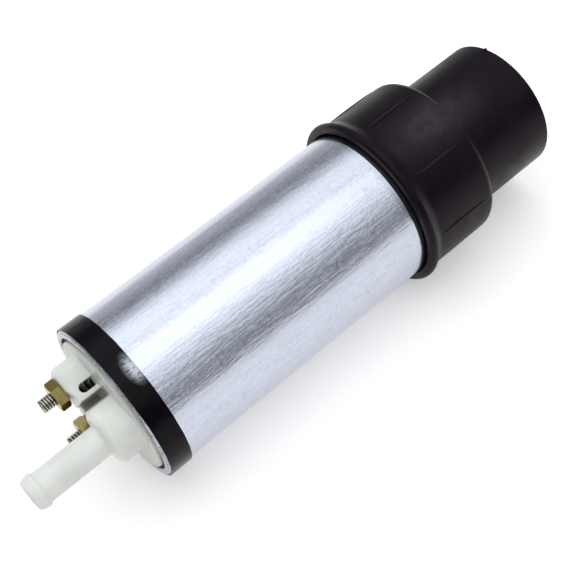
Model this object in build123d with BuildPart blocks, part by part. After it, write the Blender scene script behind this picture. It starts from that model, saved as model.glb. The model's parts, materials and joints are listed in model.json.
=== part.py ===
from build123d import *
import math
import os

os.makedirs("parts", exist_ok=True)

# An in-tank fuel pump: a steel tube holds a direct-current motor over a gear stage.
# A nylon outlet cap is crimped into the top and a rubber sleeve grips the inlet end.
# Sizes are in millimetres. +Z runs along the pump from the inlet to the outlet, and the
# origin is the middle of the sleeve's mouth. -Y is the side with the outlet pipe.

# Clearances: a pressed or seated joint, and a shaft or slider that runs
SEAT_GAP = 0.05
RUN_GAP = 0.05
BRUSH_GAP = 0.1
SHAFT_BORE_GAP = 0.2

# Rubber sleeve on the inlet end
SLEEVE_SHOULDER_WALL = 1.25
SLEEVE_LIP_WALL = 2.6
SLEEVE_SHOULDER_STEP = 4.55
SLEEVE_NECK_WALL = 3.15
SLEEVE_THROAT_STEP = 1.5
SLEEVE_MOUTH_DEPTH = 20.0
SLEEVE_NECK_LENGTH = 24.6
SLEEVE_SOCKET_LENGTH = 24.0
SLEEVE_FLOOR = 4.0
SLEEVE_SHOULDER_ROUND = 2.5
SLEEVE_SHOULDER_FLAT = 0.15
SLEEVE_FLARE_LENGTH = 4.0
SLEEVE_LIP_BAND = 1.6
SLEEVE_LIP_ROUND = 1.1
SLEEVE_LIP_BEVEL = 1.6
SLEEVE_RIB_COUNT = 8
SLEEVE_RIB_HEIGHT = 0.3
SLEEVE_RIB_WIDTH = 0.7
SLEEVE_RIB_START_DEG = -5.0

# Steel tube with both edges rolled in
TUBE_R = 21.5
TUBE_WALL = 1.5
RIM_THICKNESS = 0.9
RIM_OVERHANG = 0.5
RIM_ROUND = 0.8

# Black band round the outlet end
BAND_THICKNESS = 0.4
BAND_WIDTH = 6.2
BAND_SETBACK = 0.4

# Outlet cap
CAP_FLANGE_GAP = 0.9
CAP_FLANGE_PROUD = 0.5
CAP_FLANGE_ROUND = 0.4
CAP_SEAL_HEIGHT = 1.6
CAP_PLATE = 5.0
CAP_SKIRT_WALL = 2.35
CAP_SKIRT_LENGTH = 19.6
FOOT_OVERLAP = 1.0

# Outlet pipe and the boss that it stands on
PIPE_X = -5.1
PIPE_Y = -7.5
PIPE_R = 4.0
PIPE_BORE_R = 2.6
PIPE_TIP_R = 3.9
PIPE_LENGTH = 20.6
BARB_R = 4.7
BARB_CONE = 2.8
BARB_RAMP = 0.5
BARB_ROUND = 0.6
BOSS_R = 7.5
BOSS_HEIGHT = 7.6
BOSS_ROUND = 1.8

# Tower over the first brush, with the smaller stud
TOWER_A_SETBACK = 3.3
TOWER_A_SIDE_WALL = 1.3
TOWER_A_HALF_WIDTH = 7.5
TOWER_A_HEIGHT = 7.2
TOWER_A_CORNER = 2.0
TOWER_A_ROUND = 1.6
TOWER_A_STEP_DROP = 1.0
TOWER_A_STEP_X = 8.7
WINDOW_INSET = 0.2
WINDOW_WIDTH = 2.4
WINDOW_SILL = 0.1
WINDOW_HEIGHT = 4.2

# Tower with the larger stud
TOWER_B_LENGTH = 11.2
TOWER_B_WIDTH = 9.2
TOWER_B_HEIGHT = 5.5
TOWER_B_CORNER = 2.0
STUD_B_X = -1.8
STUD_B_Y = 8.0
TOWER_B_SHIFT_X = 0.8

# Brushes, their wells and springs
BRUSH_X = 8.4
BRUSH_R = 2.7
BRUSH_LENGTH = 12.0
BRUSH_BEVEL = 0.3
WELL_WALL = 1.2
WELL_END_GAP = 0.6
WELL_TOP_RISE = 5.0
WELL_CAP = 1.0
BRUSH_SPRING_TURNS = 7
BRUSH_SPRING_WIRE = 0.6
BRUSH_SPRING_R = 2.2
WIRE_FACES = 6

# Terminal studs, nuts and washer
STUD_A_OFFSET = 1.2
STUD_A_R = 2.0
STUD_A_REACH = 6.2
STUD_B_R = 2.5
STUD_B_REACH = 7.1
STUD_BEVEL = 0.4
STUD_HEAD_HEIGHT = 0.8
STUD_B_HEAD_R = 3.0
NUT_A_FLATS = 7.0
NUT_A_HEIGHT = 2.8
NUT_B_FLATS = 8.0
NUT_B_HEIGHT = 3.0
NUT_A_TURN_DEG = 48.0
NUT_B_TURN_DEG = 5.0
NUT_BEVEL_RISE = 0.45
WASHER_R = 4.1
WASHER_THICKNESS = 0.6
STRIP_THICKNESS = 0.6
STRIP_WIDTH = 6.0

# Shaft, bearings and armature
SHAFT_R = 2.0
SHAFT_FLAT = 0.5
BUSH_R = 4.0
BUSH_LENGTH = 7.0
BUSH_WALL = 1.0
SHAFT_END_GAP = 0.8
STACK_INSET = 8.0
STACK_TOP_INSET = 6.0
SLOT_COUNT = 8
SLOT_INNER_R = 6.6
TOOTH_TIP = 2.2
SLOT_WIDTH = 4.4
SLOT_MOUTH = 1.8
WINDING_HEAD = 5.6
WINDING_SETBACK = 1.0
WINDING_HEAD_INNER_R = 4.6
WINDING_BEVEL = 1.6
SLOT_LINER = 0.15
COMMUTATOR_R = 12.6
COMMUTATOR_INNER_R = 5.2
COMMUTATOR_THICKNESS = 2.6
COMMUTATOR_CUT = 0.6
HUB_HEIGHT = 4.6
HUB_DISC_R = 11.8
THRUST_WASHER_R = 3.8
THRUST_WASHER_THICKNESS = 0.8

# Magnets and the clips that spread them
AIR_GAP = 0.5
MAGNET_THICKNESS = 4.85
MAGNET_LENGTH = 46.0
MAGNET_BASE_RISE = 5.0
MAGNET_PART = 8.4
CLIP_THICKNESS = 0.7
CLIP_LEG = 3.4
CLIP_LENGTH = 38.0

# Gear stage: inner rotor with LOBES lobes inside an outer rotor with one more
LOBES = 6
ECCENTRICITY = 1.1
LOBE_CIRCLE_R = 10.0
LOBE_R = 2.8
ROTOR_MESH_GAP = 0.1
OUTER_ROTOR_RIM = 2.4
ROTOR_HEIGHT = 8.0
ROTOR_END_GAP = 0.05
ROOT_ROUND = 0.8
LOBE_ARCS = 8
PORT_MEAN_R = 7.7
PORT_HALF_WIDTH = 1.5
PORT_ARC_DEG = 116.0
PORT_DEPTH = 4.5
COVER_HEIGHT = 10.0
BODY_HEIGHT = 9.5
COVER_CHAMBER_R = 8.4
COVER_CHAMBER_HEIGHT = 4.0
NOZZLE_R = 7.0
NOZZLE_BORE_R = 5.0
NOZZLE_LENGTH = 7.0
NOZZLE_ROUND = 0.8
INLET_SEAL_DEPTH = 1.8
INLET_SEAL_HEIGHT = 1.9
INLET_SEAL_RISE = 5.0
PILOT_DEPTH = 2.5
DOWEL_R = 1.0
DOWEL_INSET = 3.05
DOWEL_LENGTH = 14.0
DOWEL_ANGLES_DEG = (110.0, 250.0)

# Relief valve beside the rotors
RELIEF_WALL = 1.0
RELIEF_BALL_R = 1.6
RELIEF_BORE_R = 1.9
RELIEF_SEAT_R = 1.1
RELIEF_SEAT_RISE = 4.8
RELIEF_PLUG_HEIGHT = 5.0
RELIEF_PLUG_RISE = 1.5
RELIEF_VENT_R = 0.8
RELIEF_SPRING_TURNS = 5
RELIEF_SPRING_R = 1.15
RELIEF_SPRING_WIRE = 0.4

# Outlet check valve in the boss
VALVE_TUBE_R = 5.5
VALVE_DROP = 7.6
CHAMBER_R = 3.6
CHAMBER_TOP_RISE = 1.9
SEAT_HEIGHT = 3.0
SEAT_BORE_R = 1.8
POPPET_R = 2.9
POPPET_HEIGHT = 1.4
POPPET_STEM_R = 1.1
POPPET_STEM_LENGTH = 4.6
CHECK_SPRING_TURNS = 4
CHECK_SPRING_R = 2.2
CHECK_SPRING_WIRE = 0.5

# Levels along the pump, from the sleeve's mouth up
TUBE_BASE_Z = SLEEVE_NECK_LENGTH + SLEEVE_FLOOR
COVER_BASE_Z = TUBE_BASE_Z + RIM_THICKNESS
ROTOR_BASE_Z = COVER_BASE_Z + COVER_HEIGHT
BODY_BASE_Z = ROTOR_BASE_Z + ROTOR_HEIGHT
BODY_TOP_Z = BODY_BASE_Z + BODY_HEIGHT
MAGNET_BASE_Z = BODY_TOP_Z + MAGNET_BASE_RISE
CAP_BASE_Z = MAGNET_BASE_Z + MAGNET_LENGTH
STACK_BASE_Z = MAGNET_BASE_Z + STACK_INSET
STACK_TOP_Z = CAP_BASE_Z - STACK_TOP_INSET
STACK_LENGTH = STACK_TOP_Z - STACK_BASE_Z
CAP_UNDER_Z = CAP_BASE_Z + CAP_SKIRT_LENGTH
CAP_FACE_Z = CAP_UNDER_Z + CAP_PLATE
TUBE_TOP_Z = CAP_FACE_Z - CAP_FLANGE_PROUD
RIM_UNDER_Z = TUBE_TOP_Z - RIM_THICKNESS
CAP_SHOULDER_Z = RIM_UNDER_Z - CAP_SEAL_HEIGHT
BOSS_TOP_Z = TUBE_TOP_Z + BOSS_HEIGHT
PIPE_TIP_Z = BOSS_TOP_Z + PIPE_LENGTH
TOWER_A_TOP_Z = TUBE_TOP_Z + TOWER_A_HEIGHT
TOWER_B_TOP_Z = TUBE_TOP_Z + TOWER_B_HEIGHT
WELL_TOP_Z = TUBE_TOP_Z + WELL_TOP_RISE
BUSH_TOP_Z = CAP_UNDER_Z - SHAFT_END_GAP
BUSH_BASE_Z = BUSH_TOP_Z - BUSH_LENGTH
COMMUTATOR_TOP_Z = STACK_TOP_Z + WINDING_HEAD + HUB_HEIGHT
BRUSH_TOP_Z = COMMUTATOR_TOP_Z + BRUSH_LENGTH
WELL_BASE_Z = COMMUTATOR_TOP_Z + WELL_END_GAP
VALVE_BASE_Z = CAP_UNDER_Z - VALVE_DROP
CHAMBER_TOP_Z = TUBE_TOP_Z + CHAMBER_TOP_RISE
SEAT_TOP_Z = VALVE_BASE_Z + SEAT_HEIGHT
POPPET_TOP_Z = SEAT_TOP_Z + POPPET_HEIGHT
LOWER_BUSH_TOP_Z = BODY_TOP_Z
RELIEF_SEAT_Z = BODY_TOP_Z - RELIEF_SEAT_RISE
RELIEF_BALL_Z = RELIEF_SEAT_Z - math.sqrt(RELIEF_BALL_R**2 - RELIEF_SEAT_R**2) - SEAT_GAP
RELIEF_PLUG_Z = COVER_BASE_Z + RELIEF_PLUG_RISE

# Radii and places that follow from the tube, the brushes and the rotors
TUBE_INNER_R = TUBE_R - TUBE_WALL
RIM_BORE_R = TUBE_INNER_R - RIM_OVERHANG
FIT_R = TUBE_INNER_R - SEAT_GAP
SOCKET_BORE_R = TUBE_R + SEAT_GAP
SLEEVE_SHOULDER_R = SOCKET_BORE_R + SLEEVE_SHOULDER_WALL
SLEEVE_LIP_R = SOCKET_BORE_R + SLEEVE_LIP_WALL
SLEEVE_NECK_R = SLEEVE_SHOULDER_R - SLEEVE_SHOULDER_STEP
SLEEVE_MOUTH_R = SLEEVE_NECK_R - SLEEVE_NECK_WALL
SLEEVE_THROAT_R = SLEEVE_MOUTH_R - SLEEVE_THROAT_STEP
SLEEVE_NECK_ROUND = SLEEVE_SHOULDER_STEP - SLEEVE_SHOULDER_ROUND - SLEEVE_SHOULDER_FLAT
CAP_FLANGE_R = RIM_BORE_R - CAP_FLANGE_GAP
CAP_SKIRT_R = FIT_R - CAP_SKIRT_WALL
TOWER_A_OUTER_R = CAP_FLANGE_R - TOWER_A_SETBACK
WELL_BORE_R = BRUSH_R + BRUSH_GAP
WELL_R = WELL_BORE_R + WELL_WALL
WINDOW_X = BRUSH_X - WELL_BORE_R + WINDOW_INSET
TOWER_A_SIDE_X = WINDOW_X - TOWER_A_SIDE_WALL
STUD_A_X = BRUSH_X + STUD_A_OFFSET
MAGNET_INNER_R = FIT_R - MAGNET_THICKNESS
STACK_R = MAGNET_INNER_R - AIR_GAP
SLOT_OUTER_R = STACK_R - TOOTH_TIP
WINDING_HEAD_R = STACK_R - WINDING_SETBACK
DOWEL_CIRCLE_R = FIT_R - DOWEL_INSET
OUTER_ROTOR_R = LOBE_CIRCLE_R - LOBE_R + 2 * ECCENTRICITY + OUTER_ROTOR_RIM
RELIEF_X = OUTER_ROTOR_R - ECCENTRICITY + RELIEF_WALL + RELIEF_BORE_R


def finish(builder, name):
    """Labels a finished piece and writes it under that name."""
    builder.part.label = name
    export_step(builder.part, f"parts/{name}.step")


def circles_at(builder, level):
    """A piece's circular edges at one level along the pump, the narrowest first."""
    circles = builder.edges().filter_by(GeomType.CIRCLE)
    return circles.filter_by_position(Axis.Z, level - RUN_GAP, level + RUN_GAP).sort_by(
        SortBy.RADIUS
    )


def side_plane(x=0.0, y=0.0, turn_deg=0.0):
    """The upright plane through (x, y) whose first axis leans turn_deg from +X."""
    turn = math.radians(turn_deg)
    return Plane(
        origin=(x, y, 0),
        x_dir=(math.cos(turn), math.sin(turn), 0),
        z_dir=(math.sin(turn), -math.cos(turn), 0),
    )


def helix_point(x, y, base, radius, rise, angle):
    """A point of a helix and its unit tangent, with the climb per radian in rise."""
    point = Vector(x + radius * math.cos(angle), y + radius * math.sin(angle), base + rise * angle)
    tangent = Vector(-radius * math.sin(angle), radius * math.cos(angle), rise).normalized()
    return point, tangent


def coil_spring(name, x, y, bottom, top, turns, radius, wire):
    """A compression spring as one unbroken wire, each half turn a pair of tangent arcs.
    The wire has a few flat faces in place of its round section, to keep the spring light."""
    base = bottom + wire / 2
    rise = (top - bottom - wire) / (turns * 2 * math.pi)
    with BuildPart() as spring:
        with BuildLine() as path:
            for half in range(2 * turns):
                start, along = helix_point(x, y, base, radius, rise, half * math.pi)
                end, onward = helix_point(x, y, base, radius, rise, (half + 1) * math.pi)
                chord = end - start
                spread = 2 * (along.dot(onward) - 1)
                lean = -2 * chord.dot(along + onward)
                reach = (-lean - math.sqrt(lean**2 - 4 * spread * chord.dot(chord))) / (2 * spread)
                first = start + along * reach
                second = end - onward * reach
                middle = (first + second) / 2
                TangentArc(start, middle, tangent=along)
                TangentArc(middle, end, tangent=(second - first))
        start, along = helix_point(x, y, base, radius, rise, 0.0)
        with BuildSketch(Plane(origin=start, x_dir=(1, 0, 0), z_dir=along)):
            RegularPolygon(wire / 2, WIRE_FACES)
        sweep(path=path.line)
    marks = 24
    line = [
        helix_point(x, y, base, radius, rise, 2 * math.pi * k / marks)[0]
        for k in range(turns * marks + 1)
    ]
    gap = min(
        (line[i] - line[j]).length
        for i in range(len(line))
        for j in range(i + marks // 2, len(line))
    )
    print(name, "least gap between turns", round(gap - wire, 2), "mm")
    return spring


def hex_nut(x, y, base, flats, height, bore, turn_deg):
    """A hexagon nut with both faces bevelled at the corners."""
    corner = flats / math.sqrt(3)
    with BuildPart() as nut:
        with BuildSketch(Plane.XY.offset(base)):
            with Locations((x, y)):
                RegularPolygon(corner, 6, rotation=turn_deg)
                Circle(bore, mode=Mode.SUBTRACT)
        extrude(amount=height)
        with BuildSketch(side_plane(x, y)):
            Polygon(
                [
                    (0, base),
                    (flats / 2, base),
                    (corner, base + NUT_BEVEL_RISE),
                    (corner, base + height - NUT_BEVEL_RISE),
                    (flats / 2, base + height),
                    (0, base + height),
                ]
            )
        revolve(axis=Axis((x, y, 0), (0, 0, 1)), mode=Mode.INTERSECT)
    return nut


def ring(x, y, base, outer, inner, height):
    """A plain ring or bush standing on base."""
    with BuildPart() as piece:
        with BuildSketch(Plane.XY.offset(base)):
            with Locations((x, y)):
                Circle(outer)
                Circle(inner, mode=Mode.SUBTRACT)
        extrude(amount=height)
    return piece


# Rubber sleeve: a narrow neck, a rounded shoulder and a ribbed socket with a flared lip
SLEEVE_TOP_Z = SLEEVE_NECK_LENGTH + SLEEVE_SOCKET_LENGTH
rib_low = SLEEVE_NECK_LENGTH + SLEEVE_SHOULDER_ROUND
rib_high = SLEEVE_TOP_Z - SLEEVE_FLARE_LENGTH
rib_r = SLEEVE_SHOULDER_R + SLEEVE_RIB_HEIGHT
with BuildPart() as rubber_sleeve:
    with BuildSketch(Plane.XZ):
        Polygon(
            [
                (SLEEVE_MOUTH_R, 0),
                (SLEEVE_NECK_R, 0),
                (SLEEVE_NECK_R, SLEEVE_NECK_LENGTH),
                (SLEEVE_SHOULDER_R, SLEEVE_NECK_LENGTH),
                (SLEEVE_SHOULDER_R, rib_high),
                (SLEEVE_LIP_R, SLEEVE_TOP_Z - SLEEVE_LIP_BAND),
                (SLEEVE_LIP_R, SLEEVE_TOP_Z),
                (SOCKET_BORE_R + SLEEVE_LIP_BEVEL / 2, SLEEVE_TOP_Z),
                (SOCKET_BORE_R, SLEEVE_TOP_Z - SLEEVE_LIP_BEVEL),
                (SOCKET_BORE_R, TUBE_BASE_Z),
                (SLEEVE_THROAT_R, TUBE_BASE_Z),
                (SLEEVE_THROAT_R, SLEEVE_MOUTH_DEPTH),
                (SLEEVE_MOUTH_R, SLEEVE_MOUTH_DEPTH),
            ]
        )
    revolve(axis=Axis.Z)
    fillet(circles_at(rubber_sleeve, SLEEVE_NECK_LENGTH)[-1], SLEEVE_SHOULDER_ROUND)
    fillet(circles_at(rubber_sleeve, SLEEVE_NECK_LENGTH)[0], SLEEVE_NECK_ROUND)
    fillet(circles_at(rubber_sleeve, SLEEVE_TOP_Z)[-1], SLEEVE_LIP_ROUND)
    for k in range(SLEEVE_RIB_COUNT):
        turn = SLEEVE_RIB_START_DEG + k * 360 / SLEEVE_RIB_COUNT
        with BuildSketch(side_plane(turn_deg=turn)):
            Polygon(
                [
                    (SLEEVE_SHOULDER_R - SLEEVE_RIB_WIDTH, rib_low),
                    (SLEEVE_SHOULDER_R, rib_low),
                    (rib_r, rib_low + SLEEVE_RIB_WIDTH),
                    (rib_r, rib_high - SLEEVE_RIB_WIDTH),
                    (SLEEVE_SHOULDER_R, rib_high),
                    (SLEEVE_SHOULDER_R - SLEEVE_RIB_WIDTH, rib_high),
                ]
            )
        extrude(amount=SLEEVE_RIB_WIDTH / 2, both=True)
finish(rubber_sleeve, "rubber_sleeve")

# Steel tube: each edge turns in over the piece that it holds
with BuildPart() as pump_shell:
    with BuildSketch(Plane.XZ):
        Polygon(
            [
                (RIM_BORE_R, TUBE_BASE_Z),
                (TUBE_R, TUBE_BASE_Z),
                (TUBE_R, TUBE_TOP_Z),
                (RIM_BORE_R, TUBE_TOP_Z),
                (RIM_BORE_R, TUBE_TOP_Z - RIM_THICKNESS),
                (TUBE_INNER_R, TUBE_TOP_Z - RIM_THICKNESS),
                (TUBE_INNER_R, TUBE_BASE_Z + RIM_THICKNESS),
                (RIM_BORE_R, TUBE_BASE_Z + RIM_THICKNESS),
            ]
        )
    revolve(axis=Axis.Z)
    for level in (TUBE_BASE_Z, TUBE_TOP_Z):
        fillet(circles_at(pump_shell, level)[-1], RIM_ROUND)
finish(pump_shell, "pump_shell")

# Thin black band round the outlet end of the tube
band_top = TUBE_TOP_Z - BAND_SETBACK
with BuildPart() as rim_band:
    with BuildSketch(Plane.XY.offset(band_top - BAND_WIDTH)):
        Circle(TUBE_R + BAND_THICKNESS)
        Circle(TUBE_R + SEAT_GAP / 2, mode=Mode.SUBTRACT)
    extrude(amount=BAND_WIDTH)
finish(rim_band, "rim_band")

# Copper strip under the cap's plate, from the larger stud toward the second brush
strip_base = CAP_UNDER_Z - STRIP_THICKNESS
rivet_base = strip_base - STUD_HEAD_HEIGHT
strip_end = Vector(WELL_R - BRUSH_X, WELL_R + STRIP_WIDTH / 2)
strip_middle = (strip_end + Vector(STUD_B_X, STUD_B_Y)) / 2
with BuildPart() as terminal_strip:
    with BuildSketch(Plane.XY.offset(strip_base)):
        SlotCenterPoint(strip_middle, strip_end, STRIP_WIDTH)
        with Locations((STUD_B_X, STUD_B_Y)):
            Circle(STUD_B_R + SEAT_GAP, mode=Mode.SUBTRACT)
    extrude(amount=STRIP_THICKNESS)
finish(terminal_strip, "terminal_strip")

# Outlet cap: skirt, plate and flange in one turn, then the boss, pipe, towers and wells
with BuildPart() as outlet_cap:
    with BuildSketch(Plane.XZ):
        Polygon(
            [
                (0, CAP_UNDER_Z),
                (CAP_SKIRT_R, CAP_UNDER_Z),
                (CAP_SKIRT_R, CAP_BASE_Z),
                (FIT_R, CAP_BASE_Z),
                (FIT_R, CAP_SHOULDER_Z),
                (CAP_FLANGE_R, CAP_SHOULDER_Z),
                (CAP_FLANGE_R, CAP_FACE_Z),
                (0, CAP_FACE_Z),
            ]
        )
    revolve(axis=Axis.Z)
    fillet(circles_at(outlet_cap, CAP_FACE_Z)[-1], CAP_FLANGE_ROUND)

    # Tower over the first brush: its outer wall follows the flange, its inner side steps down
    with BuildSketch(Plane.XY.offset(CAP_FACE_Z - FOOT_OVERLAP)) as tower_foot:
        Circle(TOWER_A_OUTER_R)
        with Locations(((TOWER_A_SIDE_X + TOWER_A_OUTER_R) / 2, 0)):
            Rectangle(
                TOWER_A_OUTER_R - TOWER_A_SIDE_X, 2 * TOWER_A_HALF_WIDTH, mode=Mode.INTERSECT
            )
        fillet(tower_foot.vertices().group_by(Axis.X)[-1], TOWER_A_CORNER)
    extrude(amount=TOWER_A_TOP_Z - CAP_FACE_Z + FOOT_OVERLAP)
    tower_edges = (
        outlet_cap.faces().sort_by(Axis.Z)[-1].edges().filter_by(
            lambda e: e.center().X > TOWER_A_SIDE_X + SEAT_GAP
        )
    )
    fillet(tower_edges, TOWER_A_ROUND)
    with BuildSketch(Plane.XZ):
        Polygon(
            [
                (TOWER_A_SIDE_X - FOOT_OVERLAP, TOWER_A_TOP_Z - TOWER_A_STEP_DROP),
                (WINDOW_X, TOWER_A_TOP_Z - TOWER_A_STEP_DROP),
                (TOWER_A_STEP_X, TOWER_A_TOP_Z),
                (TOWER_A_STEP_X, TOWER_A_TOP_Z + FOOT_OVERLAP),
                (TOWER_A_SIDE_X - FOOT_OVERLAP, TOWER_A_TOP_Z + FOOT_OVERLAP),
            ]
        )
    extrude(amount=TOWER_A_OUTER_R, both=True, mode=Mode.SUBTRACT)

    # Boss under the pipe, rounded over at the top
    with BuildSketch(Plane.XY.offset(CAP_FACE_Z - FOOT_OVERLAP)):
        with Locations((PIPE_X, PIPE_Y)):
            Circle(BOSS_R)
    extrude(amount=BOSS_TOP_Z - CAP_FACE_Z + FOOT_OVERLAP)
    fillet(circles_at(outlet_cap, BOSS_TOP_Z)[-1], BOSS_ROUND)

    # Tower for the larger stud, behind the boss
    with BuildSketch(Plane.XY.offset(CAP_FACE_Z - FOOT_OVERLAP)):
        with Locations((STUD_B_X + TOWER_B_SHIFT_X, STUD_B_Y)):
            RectangleRounded(TOWER_B_LENGTH, TOWER_B_WIDTH, TOWER_B_CORNER)
    extrude(amount=TOWER_B_TOP_Z - CAP_FACE_Z + FOOT_OVERLAP)

    # Brush wells, the second with a domed end that stands out of the flange
    with BuildSketch(Plane.XY.offset(WELL_BASE_Z)):
        with Locations((BRUSH_X, 0), (-BRUSH_X, 0)):
            Circle(WELL_R)
    extrude(amount=CAP_UNDER_Z - WELL_BASE_Z + FOOT_OVERLAP)
    with BuildSketch(Plane.XY.offset(CAP_FACE_Z - FOOT_OVERLAP)):
        with Locations((-BRUSH_X, 0)):
            Circle(WELL_R)
    extrude(amount=WELL_TOP_Z + WELL_CAP - CAP_FACE_Z + FOOT_OVERLAP)

    # Bearing boss and valve tube under the plate
    with BuildSketch(Plane.XY.offset(BUSH_BASE_Z)):
        Circle(BUSH_R + BUSH_WALL)
    extrude(amount=CAP_UNDER_Z - BUSH_BASE_Z + FOOT_OVERLAP)
    with BuildSketch(Plane.XY.offset(VALVE_BASE_Z)):
        with Locations((PIPE_X, PIPE_Y)):
            Circle(VALVE_TUBE_R)
    extrude(amount=CAP_UNDER_Z - VALVE_BASE_Z + FOOT_OVERLAP)

    # Pipe with one barb at its tip
    with BuildSketch(side_plane(PIPE_X, PIPE_Y)):
        Polygon(
            [
                (0, BOSS_TOP_Z - FOOT_OVERLAP),
                (PIPE_R, BOSS_TOP_Z - FOOT_OVERLAP),
                (PIPE_R, PIPE_TIP_Z - BARB_CONE - BARB_RAMP),
                (BARB_R, PIPE_TIP_Z - BARB_CONE),
                (PIPE_TIP_R, PIPE_TIP_Z),
                (0, PIPE_TIP_Z),
            ]
        )
    revolve(axis=Axis((PIPE_X, PIPE_Y, 0), (0, 0, 1)))
    fillet(circles_at(outlet_cap, PIPE_TIP_Z)[-1], BARB_ROUND)

    # Bores: fuel way, brush wells, bearing pocket and stud holes
    with BuildSketch(Plane.XY.offset(VALVE_BASE_Z)):
        with Locations((PIPE_X, PIPE_Y)):
            Circle(CHAMBER_R)
    extrude(amount=CHAMBER_TOP_Z - VALVE_BASE_Z, mode=Mode.SUBTRACT)
    with BuildSketch(Plane.XY.offset(VALVE_BASE_Z)):
        with Locations((PIPE_X, PIPE_Y)):
            Circle(PIPE_BORE_R)
    extrude(amount=PIPE_TIP_Z - VALVE_BASE_Z, mode=Mode.SUBTRACT)
    with BuildSketch(Plane.XY.offset(WELL_BASE_Z)):
        with Locations((BRUSH_X, 0), (-BRUSH_X, 0)):
            Circle(WELL_BORE_R)
    extrude(amount=WELL_TOP_Z - WELL_BASE_Z, mode=Mode.SUBTRACT)
    with BuildSketch(Plane.XY.offset(BUSH_BASE_Z)):
        Circle(BUSH_R + SEAT_GAP)
    extrude(amount=BUSH_LENGTH, mode=Mode.SUBTRACT)
    with BuildSketch(Plane.XY.offset(BUSH_BASE_Z)):
        Circle(SHAFT_R + SHAFT_END_GAP)
    extrude(amount=BUSH_LENGTH + SHAFT_END_GAP, mode=Mode.SUBTRACT)
    with BuildSketch(Plane.XY.offset(WELL_TOP_Z)):
        with Locations((STUD_A_X, 0)):
            Circle(STUD_A_R + SEAT_GAP)
    extrude(amount=TOWER_A_TOP_Z - WELL_TOP_Z, mode=Mode.SUBTRACT)
    with BuildSketch(Plane.XY.offset(CAP_UNDER_Z)):
        with Locations((STUD_B_X, STUD_B_Y)):
            Circle(STUD_B_R + SEAT_GAP)
    extrude(amount=TOWER_B_TOP_Z - CAP_UNDER_Z, mode=Mode.SUBTRACT)
    with BuildSketch(Plane.XY.offset(rivet_base - SEAT_GAP)):
        SlotCenterPoint(strip_middle, strip_end, STRIP_WIDTH + 2 * SEAT_GAP)
        with Locations((STUD_B_X, STUD_B_Y)):
            Circle(STUD_B_HEAD_R + SEAT_GAP)
    extrude(amount=CAP_UNDER_Z - rivet_base + SEAT_GAP, mode=Mode.SUBTRACT)

    # Arched window into the first tower, in which the spring shows
    window_base = CAP_FACE_Z + WINDOW_SILL
    with BuildSketch(Plane.XZ):
        with BuildLine():
            Polyline(
                (WINDOW_X, window_base + WINDOW_HEIGHT - WINDOW_WIDTH / 2),
                (WINDOW_X, window_base),
                (WINDOW_X + WINDOW_WIDTH, window_base),
                (WINDOW_X + WINDOW_WIDTH, window_base + WINDOW_HEIGHT - WINDOW_WIDTH / 2),
            )
            ThreePointArc(
                (WINDOW_X + WINDOW_WIDTH, window_base + WINDOW_HEIGHT - WINDOW_WIDTH / 2),
                (WINDOW_X + WINDOW_WIDTH / 2, window_base + WINDOW_HEIGHT),
                (WINDOW_X, window_base + WINDOW_HEIGHT - WINDOW_WIDTH / 2),
            )
        make_face()
    extrude(amount=TOWER_A_OUTER_R, mode=Mode.SUBTRACT)
finish(outlet_cap, "outlet_cap")

# Black sealing ring held on the cap's shoulder by the rolled rim
cap_seal = ring(
    0, 0, CAP_SHOULDER_Z, FIT_R, CAP_FLANGE_R + SEAT_GAP, CAP_SEAL_HEIGHT
)
finish(cap_seal, "cap_seal")

# Smaller stud: its wide head is the upper seat of the first brush spring
with BuildPart() as stud_m4:
    with BuildSketch(Plane.XY.offset(WELL_TOP_Z - STUD_HEAD_HEIGHT)):
        with Locations((BRUSH_X, 0)):
            Circle(WELL_BORE_R - SEAT_GAP)
    extrude(amount=STUD_HEAD_HEIGHT)
    with BuildSketch(Plane.XY.offset(WELL_TOP_Z)):
        with Locations((STUD_A_X, 0)):
            Circle(STUD_A_R)
    extrude(amount=TOWER_A_TOP_Z + STUD_A_REACH - WELL_TOP_Z)
    chamfer(stud_m4.faces().sort_by(Axis.Z)[-1].edges(), STUD_BEVEL)
finish(stud_m4, "stud_m4")

# Larger stud, riveted over the strip
with BuildPart() as stud_m5:
    with BuildSketch(Plane.XY.offset(rivet_base)):
        with Locations((STUD_B_X, STUD_B_Y)):
            Circle(STUD_B_HEAD_R)
    extrude(amount=STUD_HEAD_HEIGHT)
    with BuildSketch(Plane.XY.offset(strip_base)):
        with Locations((STUD_B_X, STUD_B_Y)):
            Circle(STUD_B_R)
    extrude(amount=TOWER_B_TOP_Z + STUD_B_REACH - strip_base)
    chamfer(stud_m5.faces().sort_by(Axis.Z)[-1].edges(), STUD_BEVEL)
finish(stud_m5, "stud_m5")

washer_m5 = ring(STUD_B_X, STUD_B_Y, TOWER_B_TOP_Z, WASHER_R, STUD_B_R + SEAT_GAP, WASHER_THICKNESS)
finish(washer_m5, "washer_m5")

nut_m4 = hex_nut(
    STUD_A_X, 0, TOWER_A_TOP_Z, NUT_A_FLATS, NUT_A_HEIGHT, STUD_A_R + SEAT_GAP, NUT_A_TURN_DEG
)
finish(nut_m4, "nut_m4")

nut_m5 = hex_nut(
    STUD_B_X,
    STUD_B_Y,
    TOWER_B_TOP_Z + WASHER_THICKNESS,
    NUT_B_FLATS,
    NUT_B_HEIGHT,
    STUD_B_R + SEAT_GAP,
    NUT_B_TURN_DEG,
)
finish(nut_m5, "nut_m5")

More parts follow.
